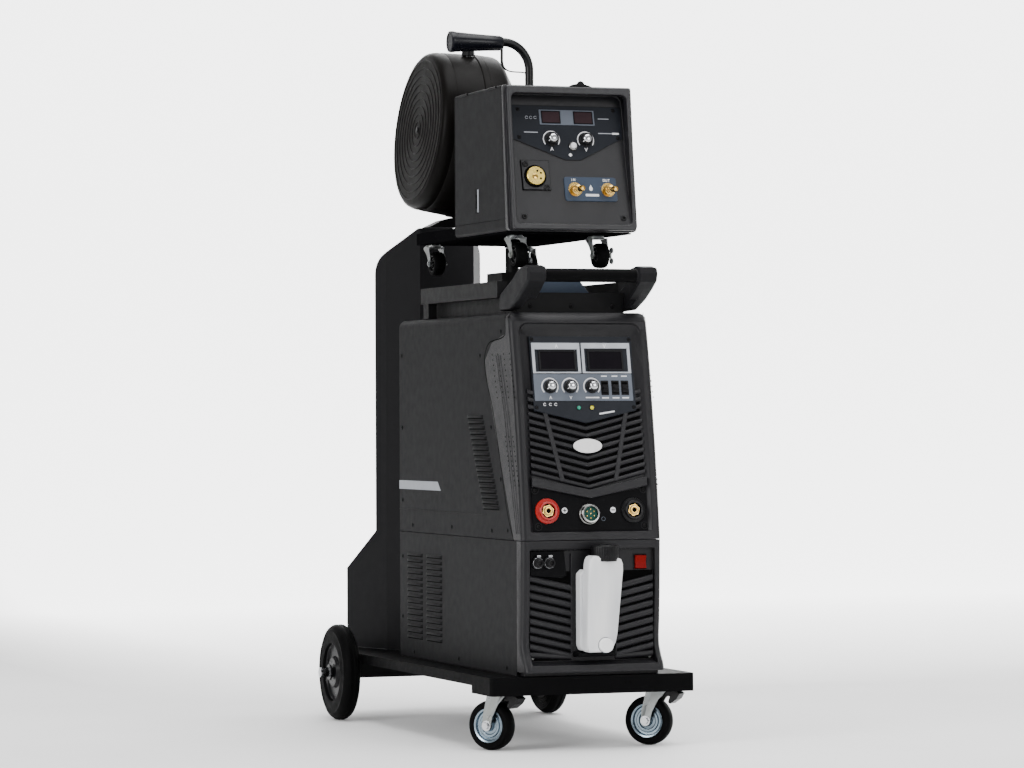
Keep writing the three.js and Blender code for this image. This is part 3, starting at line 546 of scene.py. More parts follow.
def add_studio():
    world = bpy.data.worlds.new("studio")
    world.use_nodes = True
    sky = world.node_tree.nodes["Background"].inputs
    sky["Color"].default_value, sky["Strength"].default_value = (1, 1, 1, 1), 0.55
    bpy.context.scene.world = world
    add_light("key_left", (-5.4, -2.4, 2.4), (0, 0, 0.7), (2.2, 3.2), 270)
    add_light("fill_front", (1.8, -5.2, 2.4), (0, 0, 0.7), (2.4, 2.0), 95)
    add_light("top", (0.2, -0.8, 4.2), (0, 0, 0.6), (3.0, 3.0), 190)
    add_light("rim_right", (3.8, 1.2, 2.2), (0, 0, 0.8), (1.6, 2.6), 70)


# ---- deck, wheels and cradle

def add_deck():
    dressed("deck_frame", FRAME_COAT, 1.6, 2)
    dressed("rear_axle", [DARK_COAT, BLACK, CHROME], 0.8,
            paint=lambda c: 0 if abs(c.x) < 257 else 1 if abs(c.x) < 261.2 else 2)
    dressed("bottle_cradle", COAT, 0.7)
    holes = Shape()
    # Black discs for the rivet holes: painted shade inside them.
    for x in (66, 76):
        holes.disc(leaning(-521, 0, 0), 2.2, -0.5, 0.1, SHADE_AND_PRINT_BLACK, 12, (x, 126))
    holes.done("deck_rivet_holes", "cart")


def hexagon(shape, place, radius, height, material):
    points = [polar(radius, 60 * i) for i in range(6)]
    shape.prism(place, points, 0, height * 0.8, material)
    inner = [(0.9 * u, 0.9 * v) for u, v in points]
    shape.prism(place, inner, height * 0.79, height, material)
    shape.lathe(place, [(0, -0.1), (radius * 1.35, -0.1), (radius * 1.35, 0.9), (0, 0.9)], material, 18)


def ribbed(place, walls, ribs):
    """Rings of (radius, height, rib depth) with a groove at every other point."""
    rings = []
    for r, w, deep in walls:
        turn = [(pi * i / ribs, r - (deep if i % 2 else 0)) for i in range(2 * ribs)]
        rings.append([place.at(out * cos(a), out * sin(a), w) for a, out in turn])
    return rings


def add_rear_wheels():
    for side, sign in (("left", -1), ("right", 1)):
        node = "rear_wheel_" + side
        place = Place((sign * 237, 370, 98.5), (0, -sign, 0), (0, 0, 1))
        wheel = Shape()
        tyre = [(62, -18), (70, -19), (78, -17), (88, -18.5), (96, -15), (100.5, -9)]
        tread = [(101.5, -5), (101.5, -3.5), (100, -3), (100, 3), (101.5, 3.5), (101.5, 5)]
        outer = [(r, -w) for r, w in reversed(tyre)]
        grooves = [(96, 15.4), (94, 16.8), (92.4, 17.6), (90, 16.4), (88, 17.9), (85.6, 16.5), (83.4, 18.1),
                (81, 16.2), (78.6, 17.8), (76, 15.9), (73.4, 17.8), (70.8, 15.9), (68, 18.0), (64, 16.8),
                (62, 15)]
        wheel.lathe(place, [(60, -14)] + tyre + tread + outer[:1] + grooves + [(60, 10), (60, -14)], RUBBER,
                56)
        rim = [(10.45, -16), (30, -16), (34, -9), (58, -9), (60.5, -13), (60.5, 11), (56, 12), (50, 8),
                (44, 7), (40, 9.5), (34, 8), (30, 14), (22, 16.5), (10.45, 16.5), (10.45, -16)]
        wheel.lathe(place, rim, BLACK, 48)
        for i in range(5):
            hexagon(wheel, place.moved(*polar(37, 18 + 72 * i), 8.6), 3.6, 2.4, CHROME)
        wheel.skin(node, 0.5, smooth=40)
        cone = Shape()
        cone.lathe(place, [(10.9, 16.4), (27, 16.4), (24, 19.4), (17.6, 20.2), (10.9, 20.2), (10.9, 16.4)],
                BLACK, 32)
        cone.done(f"rear_hub_{side}", BODY_OF[node], 0.3, smooth=40)


def add_front_casters():
    for side, sign, swivel in (("left", -1, 36), ("right", 1, 45)):
        t = radians(swivel)
        caster(f"caster_{side}", Vector((sign * 165, -478, -3)), Vector((-sin(t), cos(t), 0)), 48, 30, 33, 20,
                24, 134.7, True)
        dressed(f"caster_{side}_pedal", BLACK, 1.6, 3)


def caster(name, head, ahead, radius, width, trail, leg, crown, height, large=False):
    """A swivel caster: pressed fork with a ball race on top, and a wheel with a ringed rim, metal on the
    large casters and black plastic on the others.
    """
    dressed(name + "_fork", ZINC, 1.2 if large else 0.6)
    k = crown / 24
    up = Vector((0, 0, 1))
    race = Shape()
    race.lathe(Place(head, (1, 0, 0), (0, 1, 0)), [(0, height - 3.5 * k), (27 * k, height - 3.5 * k),
            (27 * k, height - 6 * k), (25 * k, height - 9 * k), (0, height - 9 * k)], ZINC, 32)
    hub = head + ahead * trail + up * radius
    for sign in (-1, 1):
        side = Place(hub, ahead * -sign, up)
        hexagon(race, side.out(leg + 0.1), 7.6 * k, 5.0 * k, CHROME if large else ZINC)
    if name.startswith("feeder_caster_front"):
        pedal = Place(hub + Vector((leg + 1.5, 0, 0)), (0, 1, 0), up)
        for v in (-11, 10):
            race.lathe(pedal, [(0, -1), (5, -1), (6, 0), (6, 3), (5, 4), (0, 4)], STEEL_GREY, 20, (-11, v))
        race.bar(pedal, (-11, -9), (-11, 9), 5, -1.2, 1.2, ZINC)
        race.bar(pedal, (0, 9), (-11, 9), 4, -1.2, 1.2, ZINC)
    race.done(name + "_race", BODY_OF[name + "_fork"], 0.3 * k, smooth=40)
    wheel = Shape()
    axis = Place(hub, -ahead, up)
    h, r = width / 2, radius
    edge = [(0.69 * r, -0.8 * h), (0.76 * r, -0.95 * h), (0.9 * r, -0.92 * h), (0.97 * r, -0.7 * h),
            (r, -0.35 * h)]
    tyre = edge + [(r, 0.35 * h)] + [(a, -b) for a, b in reversed(edge[:-1])] + [edge[0]]
    wheel.lathe(axis, tyre, RUBBER, 48)
    bore = 5.45 * k
    plate = [(bore, -0.9 * h), (0.2 * r, -0.9 * h), (0.24 * r, -0.55 * h), (0.34 * r, -0.5 * h),
            (0.38 * r, -0.66 * h), (0.46 * r, -0.66 * h), (0.5 * r, -0.48 * h), (0.58 * r, -0.5 * h),
            (0.62 * r, -0.86 * h), (0.69 * r, -0.92 * h), (0.7 * r, -0.78 * h)]
    rim = plate + [(a, -b) for a, b in reversed(plate)] + [plate[0]]
    wheel.lathe(axis, rim, BLUE_ZINC if large else BLACK, 48)
    wheel.skin(name + "_wheel", 0.3, smooth=40)


# ---- water cooler

def louvre(shape, place, u, v, length, material, height=5.5, proud=3.8):
    """A pressed vent: a half-hood that opens downwards over a slot, with a black slab in the slot as painted
    shade.
    """
    shape.slab(place, (u + 1, u + length - 1), (v - 0.6, v + 2.4), (-0.2, 0.35), SHADE_AND_PRINT_BLACK)
    steps = 5
    rings = []
    for t, share in ((0.0, 0.1), (0.03, 0.7), (0.08, 1.0), (0.92, 1.0), (0.97, 0.7), (1.0, 0.1)):
        lift = proud * share
        ring = [(0.0, -0.1), (0.0, lift)]
        for i in range(1, steps + 1):
            a = radians(90 * i / steps)
            ring.append((height * sin(a), lift * cos(a) - 0.1))
        rings.append([place.at(u + t * length, v + 2.0 + dv, w) for dv, w in ring])
    shape.loft(rings, material)


def slat(shape, place, a, b, height, proud, material):
    """A half-round bar between two points, seen from the front."""
    rings = []
    for u, v in (a, b):
        ring = [place.at(u, v, -0.3)]
        ring += [place.at(u, v + height * (0.5 - 0.5 * cos(t)), proud * sin(t))
                for t in [pi * i / 8 for i in range(1, 8)]]
        rings.append(ring + [place.at(u, v + height, -0.3)])
    shape.loft(rings, material)


def bezel_edges(front, half, low, high, rest):
    """Edge widths for a cabinet's bezel: wide at its sides, middling round the recess, small elsewhere."""
    def widths(a, b):
        if all(abs(abs(p.x) - BEZEL_SIDE) < 0.4 for p in (a, b)):
            return 4.0
        if max(a.y, b.y) < front and low < max(a.z, b.z) < high and max(abs(a.x), abs(b.x)) < half:
            return 2.0
        return rest

    return widths


def add_cooler_slats(face):
    slats = Shape()
    # Black sheets behind the slats: painted shade in the gaps between them.
    for u0, u1 in ((-127, -40), (50, 129)):
        slats.slab(face, (u0, u1), (169.5, 342), (0.02, 0.25), SHADE_AND_PRINT_BLACK)
    for row in range(10):
        for outer, inner in ((-126.5, -42), (128.5, 52)):
            rise = 0.235 * abs(outer - inner)
            low = 155.5 + 16.4 * row
            slat(slats, face, (outer, low + rise), (inner, low) if low > 169 else (inner, 169.4), 12.8, 5.6,
                    MOULDING)
    slats.slab(face, (-37, 48), (176, 187), (-0.2, 24), DARK_PANEL, 4, 3)
    for u, v in ((-120, 175), (123, 174)):
        slats.screw(face, u, v, 3.4, 2.0, ZINC)
    for u in (-41.0, 51.0):
        slats.slab(face, (u - 1.8, u + 1.8), (172, 376), (-0.2, 5.0), MOULDING, 0, 0.8)
    slats.done("cooler_slats", "cart", 0.3)


def add_cooler():
    dressed("cooler_bezel", MOULDING, segments=3, width_of=bezel_edges(-506, 132, 170, 388, 1.0))
    dressed("cooler_cover", COAT, 0.8)
    dressed("radiator", FINS, 0.5)
    dressed("coolant_pump", DARK_COAT, 1.0)
    for side, sign, place in SIDES:
        vents = Shape()
        for column in (0, 1):
            start = 85 - column * 124 if sign > 0 else column * 124 - 182
            for row in range(15):
                louvre(vents, place, start, 180 + row * 12.2, 98, COAT)
        for y, z in ((216, 349), (217, 223), (142, 152), (-141, 154), (-426, 153)):
            vents.screw(place, sign * y, z, 3.6, 1.6)
        vents.done("cooler_vents_" + side, "cart", smooth=40)
    face = leaning(-505, 0, 0)
    add_cooler_slats(face)
    add_coolant_fittings(face)
    add_tank(face)


def add_pump_switch(face):
    frame_ring = Shape()
    for u0, u1, v0, v1 in ((89, 117, 372, 374), (89, 117, 342, 344), (89, 91, 344, 372),
            (115, 117, 344, 372)):
        frame_ring.slab(face, (u0, u1), (v0, v1), (-0.2, 1.8), BLACK)
    frame_ring.done("pump_switch_frame", "cart", 0.4)
    dressed("pump_switch", RED_GLASS, 0.7, 3)
    sign = Shape()
    sign.text(face.out(3.05), "I", 103, 365, 5, WHITE, 0.25)
    sign.ring(face.out(2.6), 2.0, 2.9, 0, 0.3, WHITE, (103, 351))
    sign.done("pump_switch_marks", BODY_OF["pump_switch"])


def add_coolant_fittings(face):
    fittings = Shape()
    plate = [(-126, 382), (-126, 334), (-60, 328), (-50, 333), (-55, 382)][::-1]
    fittings.prism(face, plate, 0.3, 4.0, DARK_PANEL, 1.2)
    for x in (-112, -88):
        c = (x, 359)
        fittings.lathe(face, [(0, 2), (11, 2), (11, 7), (9.6, 9), (9.6, 15), (8.4, 16), (8.4, 20.5),
                (5.2, 21.5), (4.2, 17), (0, 17)], BLACK, 26, c)
        fittings.lathe(face, [(9.8, 9.4), (10.6, 9.4), (10.6, 12), (9.8, 12), (9.8, 9.4)], CHROME, 26, c)
        fittings.slab(face, (x - 5, x + 5), (369, 375), (3, 17), CHROME, 1.6, 1)
    fittings.skin("coolant_couplings", 0.4, smooth=40)
    add_pump_switch(face)


def add_tank_cap(neck):
    cap = Shape()
    walls = ((19.6, 381.5, 0), (19.6, 361.6, 0), (23.8, 361.6, 0), (25.6, 362.2, 0), (26.2, 364, 0.9),
            (26.2, 388, 0.9), (25.4, 390.6, 0), (22.5, 392.8, 0))
    cap.loft([[neck.at(0, 0, 381.6)], *ribbed(neck, walls, 40), [neck.at(0, 0, 393.4)]], BLACK)
    cap.lathe(neck, [(0, 392.6), (15, 392.9), (15, 394.1), (13.5, 394.3), (0, 394.3)], BLACK, 32)
    cap.skin("tank_cap", smooth=28)


def add_drain_cap(face):
    drain = Shape()
    place = face.moved(8, 201, 58.3)
    drain.lathe(place, [(11.4, 0), (14, 0), (14.2, 3), (13.8, 7.6), (12.2, 8.8), (0, 9.0), (0, 7.5),
            (11.4, 7.5), (11.4, 0)], CAP_WHITE, 40)
    drain.lathe(place, [(9.2, 8.6), (10.2, 8.6), (10.0, 9.4), (9.4, 9.4), (9.2, 8.6)], CAP_WHITE, 40)
    # A grey disc a little wider than the cap, behind it: a painted shade ring round the cap's foot.
    drain.disc(place, 15.2, -0.28, 0.1, STRIP, 32)
    drain.skin("drain_cap", 0.3, smooth=40)


def add_tank(face):
    body = Shape()
    front = [(-22, 187), (8, 187), (19, 189), (25, 195), (31, 206), (34.5, 222), (41, 285), (47, 345),
            (46.5, 357), (43, 366), (35, 369), (-13, 373), (-19, 371), (-23, 364), (-24.6, 354), (-25, 346),
            (-27, 270), (-28.5, 200), (-27, 191)]
    neck = Place((15.5, -543.8, 0), (1, 0, 0), (0, 1, 0))
    rings = []
    for inset, w in ((4.5, 58), (1.8, 57), (0.4, 54), (0, 50), (0, 25.5)):
        across, along = 1 - inset / 39, 1 - inset / 93
        rings.append([face.at(7.5 + (u - 7.5) * across, 280 + (v - 280) * along, w) for u, v in front])
    body.loft(rings[::-1], TANK)
    rear = [(-31, 200), (-27, 190), (-20, 188), (18, 188), (30, 195), (35, 207), (42, 332), (38, 344),
            (-23, 345), (-31, 337)]
    body.prism(face, rear, 0.4, 26, TANK)
    body.skin("coolant_tank", 2.2, 4, 40, smooth=60)
    collar = Shape()
    collar.disc(neck, 19, 355, 379.5, TANK, 32)
    collar.disc(face.moved(8, 201), 10.8, 54, 64.8, TANK, 28)
    collar.done("tank_necks", "cart", 0.4)
    add_tank_cap(neck)
    add_drain_cap(face)


# ---- power source

SEAM = [(-425, 844), (-425, 806), (-419, 799), (-400, 794), (-345, 789), (-325, 783), (-312, 772),
        (-304, 757), (-305, 738), (-316, 712), (-351, 655), (-385, 576), (-407, 518), (-435, 450),
        (-468, 402)]


def add_side_vents(side, sign, place):
    vents = Shape()
    for row in range(18):
        t = row / 17
        y0, length = -202 - 93 * t, 91 + 2 * t
        start = y0 - length if sign > 0 else -y0
        louvre(vents, place, start, 637 - 178.5 * t, length, COAT, 5.6, 4.2)
    for y, z in ((218, 770), (216, 619), (215, 467), (149, 416), (-101, 418), (-342, 417), (-399, 807),
            (-276, 762), (-340, 620), (-395, 519)):
        vents.screw(place, sign * y, z, 3.6, 1.6)
    vents.slab(place, (-312, 236) if sign > 0 else (-236, 312), (448.2, 449.6), (-0.2, 0.5), COAT, 0, 0.3)
    vents.done("power_source_vents_" + side, "cart", smooth=40)


def add_side_band(side, sign, place):
    band = Shape()
    outline = [(-236, 490.5), (33, 490.5), (14, 508.5), (-236, 508.5)]
    if sign > 0:
        outline = [(-u, v) for u, v in reversed(outline)]
    band.prism(place, outline, -0.1, 0.25, SILVER)
    band.done("side_band_" + side, "cart")


def add_cheek(side, sign, place):
    cheek = Shape()
    holes = [(-349 - 33 * column - 3.6 * row, 763 - 10.6 * row) for row in range(9)
            for column in range(4)]
    holes += [(-423 - 21.5 * column - 3.2 * row, 602 - 9.4 * row) for row in range(11)
            for column in range(3) if row < 8 or column]
    # Black discs for the perforations: painted shade in the holes.
    for y, z in holes:
        cheek.disc(place, 1.9, -0.3, 0.12, SHADE_AND_PRINT_BLACK, 8, (sign * y, z))
    for dy in (0, 12, 24):
        path = [(-372 - dy, 760), (-420 - dy, 640), (-452 - dy, 520), (-484 - dy * 0.8, 415)]
        line = [(sign * y, z) for y, z in path]
        for a, b in zip(line, line[1:]):
            cheek.bar(place, a, b, 1.6, -0.1, 0.45, MOULDING)
    cheek.screw(place, sign * -434, 419, 3.4, 1.4)
    cheek.done("cheek_" + side, "cart", smooth=40)


def add_cover_seam(side, sign, place):
    gap = Shape()
    line = curve([(sign * y, z, 0) for y, z in SEAM], 4)
    for a, b in zip(line, line[1:]):
        gap.bar(place, a.xy, b.xy, 2.2, -0.1, 0.14, SHADE_AND_PRINT_BLACK)
    gap.done("cover_seam_" + side, "cart")


def add_fan_guard():
    back = Place((0, 235, 0), (-1, 0, 0), (0, 0, 1))
    grille = Shape()
    middle = back.moved(0, 600)
    for r in (18, 30, 42, 54, 66):
        grille.ring(middle, r - 1.3, r + 1.3, -0.6, 1.4, ZINC, steps=48)
    for i in range(6):
        grille.bar(middle, polar(14, 60 * i), polar(69, 60 * i), 2.6, -1.6, -0.4, ZINC)
    for u, v in ((-60, 540), (60, 540), (-60, 660), (60, 660)):
        grille.screw(back, u, v, 3.5, 1.6)
    grille.done("fan_guard", "cart", 0.2)


def add_power_source():
    dressed("power_source_bezel", MOULDING, segments=3, width_of=bezel_edges(-449, 127.5, 0, 2000, 0.8))
    dressed("power_source_cover", COAT, 0.7)
    dressed("power_source_chassis", SHEET, 0.6)
    dressed("transformer", [COPPER, DARK_COAT], 1.5, paint=lambda c: abs(c.x) > 66 or c.z > 521)
    dressed("cooling_fan", BLACK, 0.8)
    for side, sign, place in SIDES:
        for add in (add_side_vents, add_side_band, add_cheek, add_cover_seam):
            add(side, sign, place)
    add_fan_guard()
    add_front_grille()
    add_control_panel()
    add_output_sockets()


GRILLE_Z = 577
LEAN_STRETCH = 1.01


def add_front_grille():
    place = leaning(-487.0625, GRILLE_Z, 8.3)

    def on(points):
        return [(u, (z - GRILLE_Z) * LEAN_STRETCH) for u, z in points]

    grille = Shape()
    outline = [(-119, 531), (0, 506), (119, 531), (119, 690), (105, 655), (0, 636), (-105, 655), (-119, 690)]
    # A black sheet behind the chevron bars: painted shade between them.
    grille.prism(place, on(outline), 0.15, 0.8, SHADE_AND_PRINT_BLACK)
    for k in range(15):
        rise = [(u, 499 + 14.2 * k + 0.25 * u) for u in range(0, 119, 2)]
        inside = [(u, z) for u, z in rise if 494 + 0.2 * u < z < (623 + 0.155 * u if u < 106 else 686)]
        if len(inside) < 6:
            continue
        for sign in (-1, 1):
            ends = on([(sign * u, z) for u, z in (inside[0], inside[-1])])
            slat(grille, place.out(0.6), *ends, 9.4, 5.0, MOULDING)
    for sign in (-1, 1):
        grille.bar(place, *on([(sign * 85, 652), (sign * 56, 519)]), 8.5, 0.3, 6.6, MOULDING)
    grille.done("front_grille", "cart", 0.35)
    brow = Shape()
    band = [(-119.5, 505), (0, 481), (119.5, 505), (119.5, 522), (0, 498), (-119.5, 522)]
    brow.prism(place, on(band), 0.2, 9.5, MOULDING)
    brow.done("grille_brow", "cart", 1.6, 3)
    badge = Shape()
    for a, b, low, high, material in ((32, 16, 1.0, 6.2, DARK_PANEL), (30, 14, 5.8, 8.4, BADGE)):
        oval = [(polar(a, t)[0], polar(b, t)[1]) for t in range(0, 360, 10)]
        badge.prism(place.moved(0, 5.7), oval, low, high, material)
    badge.done("oval_badge", "cart", 1.0, 3)


KNOBS = (("current_knob", -71, "A"), ("voltage_knob", -29, "V"), ("arc_force_knob", 16, None))
SWITCHES = (("mode_switch", 43), ("gas_switch", 65), ("lock_switch", 85))
KNOB_HEIGHT = -37


def add_displays(place):
    displays = Shape()
    for u0, u1, letter in ((-91, -12, "A"), (10, 87, "V")):
        frame_of(displays, place, u0 + 1, u1 - 2, -5.5, 35.5, 3.0, 0.3, 3.0, GREY_PLASTIC)
        displays.slab(place, (u0 + 3.6, u1 - 4.6), (-3, 33), (0.2, 1.7), GLASS, 0.5)
        displays.text(place.out(1.3), letter, (u0 + u1) / 2, 43.6, 6.2, WHITE, 0.15)
    displays.done("displays", "cart", 0.5, smooth=40)


def add_panel_marks(place):
    marks = Shape()
    above = place.out(1.0)
    for _, x, letter in KNOBS:
        marks.arc_strip(above, 15.4, 17.8, -42, 222, 0, 0.16, WHITE, (x, KNOB_HEIGHT))
        if letter:
            marks.text(above, letter, x, -58.6, 5.2, WHITE, 0.16)
        else:
            marks.slab(above, (x - 14, x + 14), (-60, -57.6), (0, 0.16), WHITE)
    for _, x in SWITCHES:
        marks.slab(above, (x - 6, x + 6), (-17.4, -15.2), (0, 0.16), WHITE)
        marks.slab(above, (x - 7, x + 7), (-60.5, -58.2), (0, 0.16), WHITE)
    marks.prism(place.out(0.1), [(28, -92.5), (60, -87.5), (60, -84.5), (28, -89.5)], 0, 0.18, WHITE)
    for x in (-84, -72, -61):
        marks.arc_strip(place.out(0.1), 2.0, 3.0, 30, 330, 0, 0.16, WHITE, (x, -72))
    marks.done("panel_marks", "cart")


def add_lamps(place):
    lamps = Shape()
    for x, lamp in ((-14, LAMP_GREEN), (13, LAMP_YELLOW)):
        lamps.lathe(place, [(0, 0), (4.9, 0), (4.9, 1.2), (4.2, 1.6), (0, 1.6)], BLACK, 20, (x, -79))
        lamps.lathe(place, [(0, 1), (3.9, 1), (3.6, 3.2), (2.2, 4.6), (0, 5.1)], lamp, 20, (x, -79))
    lamps.done("lamps", "cart", smooth=50)


def add_switches(place):
    slots = Shape()
    for _, x in SWITCHES:
        slots.slab(place, (x - 8.0, x + 8.0), (-54, -25), (0.5, 1.4), GREY_PLASTIC, 0.8)
        # A black inset in each slot: painted shade round the rocker.
        slots.slab(place, (x - 6.2, x + 6.2), (-51, -28), (1.3, 1.7), SHADE_AND_PRINT_BLACK, 0.5)
    slots.done("switch_slots", "cart", 0.2)
    for name, x in SWITCHES:
        lever = Shape()
        lever.slab(place, (x - 5.8, x + 5.8), (-49, -33), (1.9, 4.0), GREY_PLASTIC, 0.6, 0.8)
        lever.slab(place, (x - 4.4, x + 4.4), (-43, -38.6), (3.8, 7.6), GREY_PLASTIC, 0.6, 0.8)
        lever.skin(name, 0.4)


def add_control_panel():
    place = leaning(-467, 735, 11.3)
    panel = Shape()
    outline = [(-106, -84), (0, -109), (106, -84), (106, 63), (-106, 63)]
    panel.prism(place, outline, -5, -0.25, PANEL)
    panel.prism(place, [(-105, -83.4), (0, -108), (105, -83.4), (105, 62), (-105, 62)], -0.3, 0.12, PANEL)
    for u0, u1 in ((-103.5, -3.5), (-0.5, 101)):
        frame_of(panel, place, u0, u1, -10.5, 50, 13 if u0 < -50 else 11, 0.1, 1.3, SILVER)
    panel.slab(place, (-103.5, 101), (-65, -12), (0.05, 1.0), STRIP, 0.5)
    for u, v in ((-101.5, 57), (101.5, 57), (-101, -78), (101, -78)):
        panel.screw(place.out(0.1), u, v, 3.0, 1.6)
    panel.skin("control_panel", 0.35)
    add_displays(place)
    add_panel_marks(place)
    add_lamps(place)
    for name, x, _ in KNOBS:
        add_knob(name, place.moved(x, KNOB_HEIGHT, 1.1), 13.5)
    add_switches(place)


def frame_of(shape, place, u0, u1, v0, v1, border, low, high, material):
    """A rectangular picture frame of four mitred bars; a broad border is broad at the top only."""
    i0, i1, j0, j1 = u0 + border, u1 - border, v0 + border, v1 - border
    if border > 9:
        i0, i1, j0 = u0 + 6, u1 - 6, v0 + 3
    outer = [(u0, v0), (u1, v0), (u1, v1), (u0, v1)]
    inner = [(i0, j0), (i1, j0), (i1, j1), (i0, j1)]
    for k in range(4):
        m = (k + 1) % 4
        shape.prism(place, [outer[k], outer[m], inner[m], inner[k]], low, high, material)


def add_knob(name, place, radius):
    """A ribbed black skirt with a bright cap and a pointer."""
    knob = Shape()
    walls = ((radius, 0.2, 0), (radius, 3, 0), (radius * 0.93, 4, 0.5), (radius * 0.88, 11, 0.6),
            (radius * 0.8, 12.4, 0))
    knob.loft([[place.at(0, 0, 0.2)], *ribbed(place, walls, 18), [place.at(0, 0, 12.4)]], BLACK)
    cap = [(0, 12.2), (0.62, 12.2), (0.64, 14.2), (0.58, 15.8), (0.44, 17.0), (0.26, 17.8), (0, 18.0)]
    knob.lathe(place, [(radius * r, w) for r, w in cap], CHROME, 32)
    knob.bar(place, polar(radius * 0.3, 215), polar(radius * 0.86, 215), 1.4, 11.9, 12.9, WHITE)
    knob.skin(name, 0.25, smooth=38)


def add_control_socket(wall):
    multi = Shape()
    place = wall.moved(-3, -8.8, 1.2)
    multi.lathe(place, [(17, 0), (20.5, 0), (21, 2), (20, 3.6), (18.6, 4.2), (18.2, 13), (17.2, 14),
            (14.4, 13.6), (14, 2), (17, 0)], CHROME_DARK, 40)
    multi.lathe(place, [(0, 0.2), (14.3, 0.2), (14.3, 8), (13, 8.8), (0, 8.8)], GREEN, 32)
    for i in range(6):
        multi.lathe(place, [(0, 8.4), (1.5, 8.4), (1.3, 10.6), (0, 10.9)], BRASS, 10, polar(8.5, 30 + 60 * i))
    multi.lathe(place, [(0, 8.4), (1.7, 8.4), (1.4, 11), (0, 11.2)], BRASS, 10)
    multi.done("control_socket", "cart", 0.3, smooth=40)


def add_output_socket(name, x, plastic):
    at = leaning(-503.5, 458, 6.7, x)
    socket = Shape()
    socket.lathe(at, [(0, 0.4), (24.6, 0.4), (25, 2.6), (24.2, 5.0), (18.7, 6.6), (18.2, 11.2),
            (17.4, 12), (14.9, 12), (14.1, 11.2), (14.1, 5.1), (0, 5.1)], plastic, 44)
    points = [polar(12.4, 60 * i + 15) for i in range(6)]
    # A black disc on the bore's floor: painted shade inside the socket's bore.
    socket.disc(at, 13.9, 5.0, 5.6, SHADE_AND_PRINT_BLACK, 40)
    socket.prism(at, points, 5.4, 8.0, BRASS)
    socket.lathe(at, [(4.2, 7.6), (9.4, 7.6), (9.0, 10.2), (7.4, 11.0), (5.0, 10.8), (4.2, 9.6),
            (4.2, 7.6)], BRASS, 32)
    # A black disc in the pin's tip: painted shade in its hole.
    socket.disc(at, 4.6, 7.8, 8.4, SHADE_AND_PRINT_BLACK, 20)
    socket.skin(name, 0.3, smooth=40)


def add_output_sockets():
    wall = leaning(-503.4, 460, 7.0)
    panel = Shape()
    panel.prism(wall, [(-119, -41), (119, -41), (119, 43), (0, 22), (-119, 43)], 0.1, 1.2, DARK_PANEL)
    for u, v in ((-112, 39), (113, 39), (-108, -32), (112, -32)):
        panel.screw(wall.out(1.2), u, v, 4.2, 2.4)
        panel.ring(wall.out(1.1), 6.0, 7.8, 0, 0.9, GREY_PLASTIC, (u, v))
    for u, sign in ((-53, "+"), (47.5, "-")):
        disc = wall.moved(u, -1, 1.1)
        panel.lathe(disc, [(0, 0), (5.8, 0), (5.8, 0.9), (5.2, 1.3), (0, 1.3)], WHITE, 24)
        panel.slab(disc, (-3.7, 3.7), (-0.9, 0.9), (1.1, 1.6), SHADE_AND_PRINT_BLACK)
        if sign == "+":
            panel.slab(disc, (-0.9, 0.9), (-3.7, 3.7), (1.1, 1.65), SHADE_AND_PRINT_BLACK)
    panel.ring(wall.out(1.1), 3.4, 4.2, 0, 0.2, STRIP, (27, -18))
    panel.done("socket_panel", "cart", 0.3, smooth=40)
    add_control_socket(wall)
    for name, x, plastic in (("positive_socket", -89, RED), ("negative_socket", 89, BLACK)):
        add_output_socket(name, x, plastic)


# ---- tray and push handle

def add_tray():
    dressed("carrier_tray", DARK_COAT, 1.0)
    trim = Shape()
    for x in (-85, 1, 87):
        trim.screw(leaning(-404, 0, 0), x, 858, 3.8, 2.2)
    trim.done("tray_screws", "cart")
    plate = Shape()
    plate.prism(leaning(-354, 0, 0), [(-60, 884.5), (58, 884.5), (38, 909), (-33, 909)], 0.3, 1.6, BLUE_SHEET)
    plate.done("tray_plate", "cart", 0.4)

    def widths(a, b):
        if abs(a.x) > 134.5 and abs(b.x) > 134.5:
            return 6.5
        if max(a.y, b.y) < -470 and abs(abs(a.x) - 97) < 1 and abs(abs(b.x) - 97) < 1:
            return 4.0
        return 0.8

    dressed("push_handle", GREY_PLASTIC, width_of=widths, segments=4)
    bar = Shape()
    at = Place((0, -508, 914), (0, 0, 1), (0, 1, 0))
    bar.disc(at, 13.15, -96.6, 96.6, RUBBER, 36)
    bar.done("push_bar_sleeve", "cart", 0.8, smooth=40)


# ---- wire feeder

def add_door_fittings():
    side = side_face(-FEEDER_SIDE)
    latch = Shape()
    latch.slab(side, (242, 247), (1048, 1094), (-0.1, 1.8), SILVER, 0.8, 0.6)
    latch.slab(side, (224, 241), (1046, 1096), (-0.1, 0.35), DARK_PANEL, 2)
    # A black inset: painted shade in the latch's recess.
    latch.slab(side, (231, 240.5), (1056, 1084), (0.3, 0.6), SHADE_AND_PRINT_BLACK, 1)
    latch.done("door_latch", BODY_OF["feeder_door"], 0.2)
    hinge = Shape()
    for y in (-160, -330):
        hinge.tube([spot(-135.5, y - 22, 1288), spot(-135.5, y + 22, 1288)], 2.2, DARK_COAT, 12)
    hinge.done("door_hinges", BODY_OF["feeder_door"], smooth=40)


def add_feeder_vents():
    screws = Shape()
    other = side_face(FEEDER_SIDE)
    for y, z in ((-120, 1270), (-120, 1040), (-350, 1270), (-365, 1040)):
        screws.screw(other, y, z, 3.4, 1.6)
    for k in range(9):
        for y in (-320, -210):
            louvre(screws, other, y, 1100 + 14 * k, 88, COAT)
    screws.done("feeder_side_vents", "feeder", smooth=40)


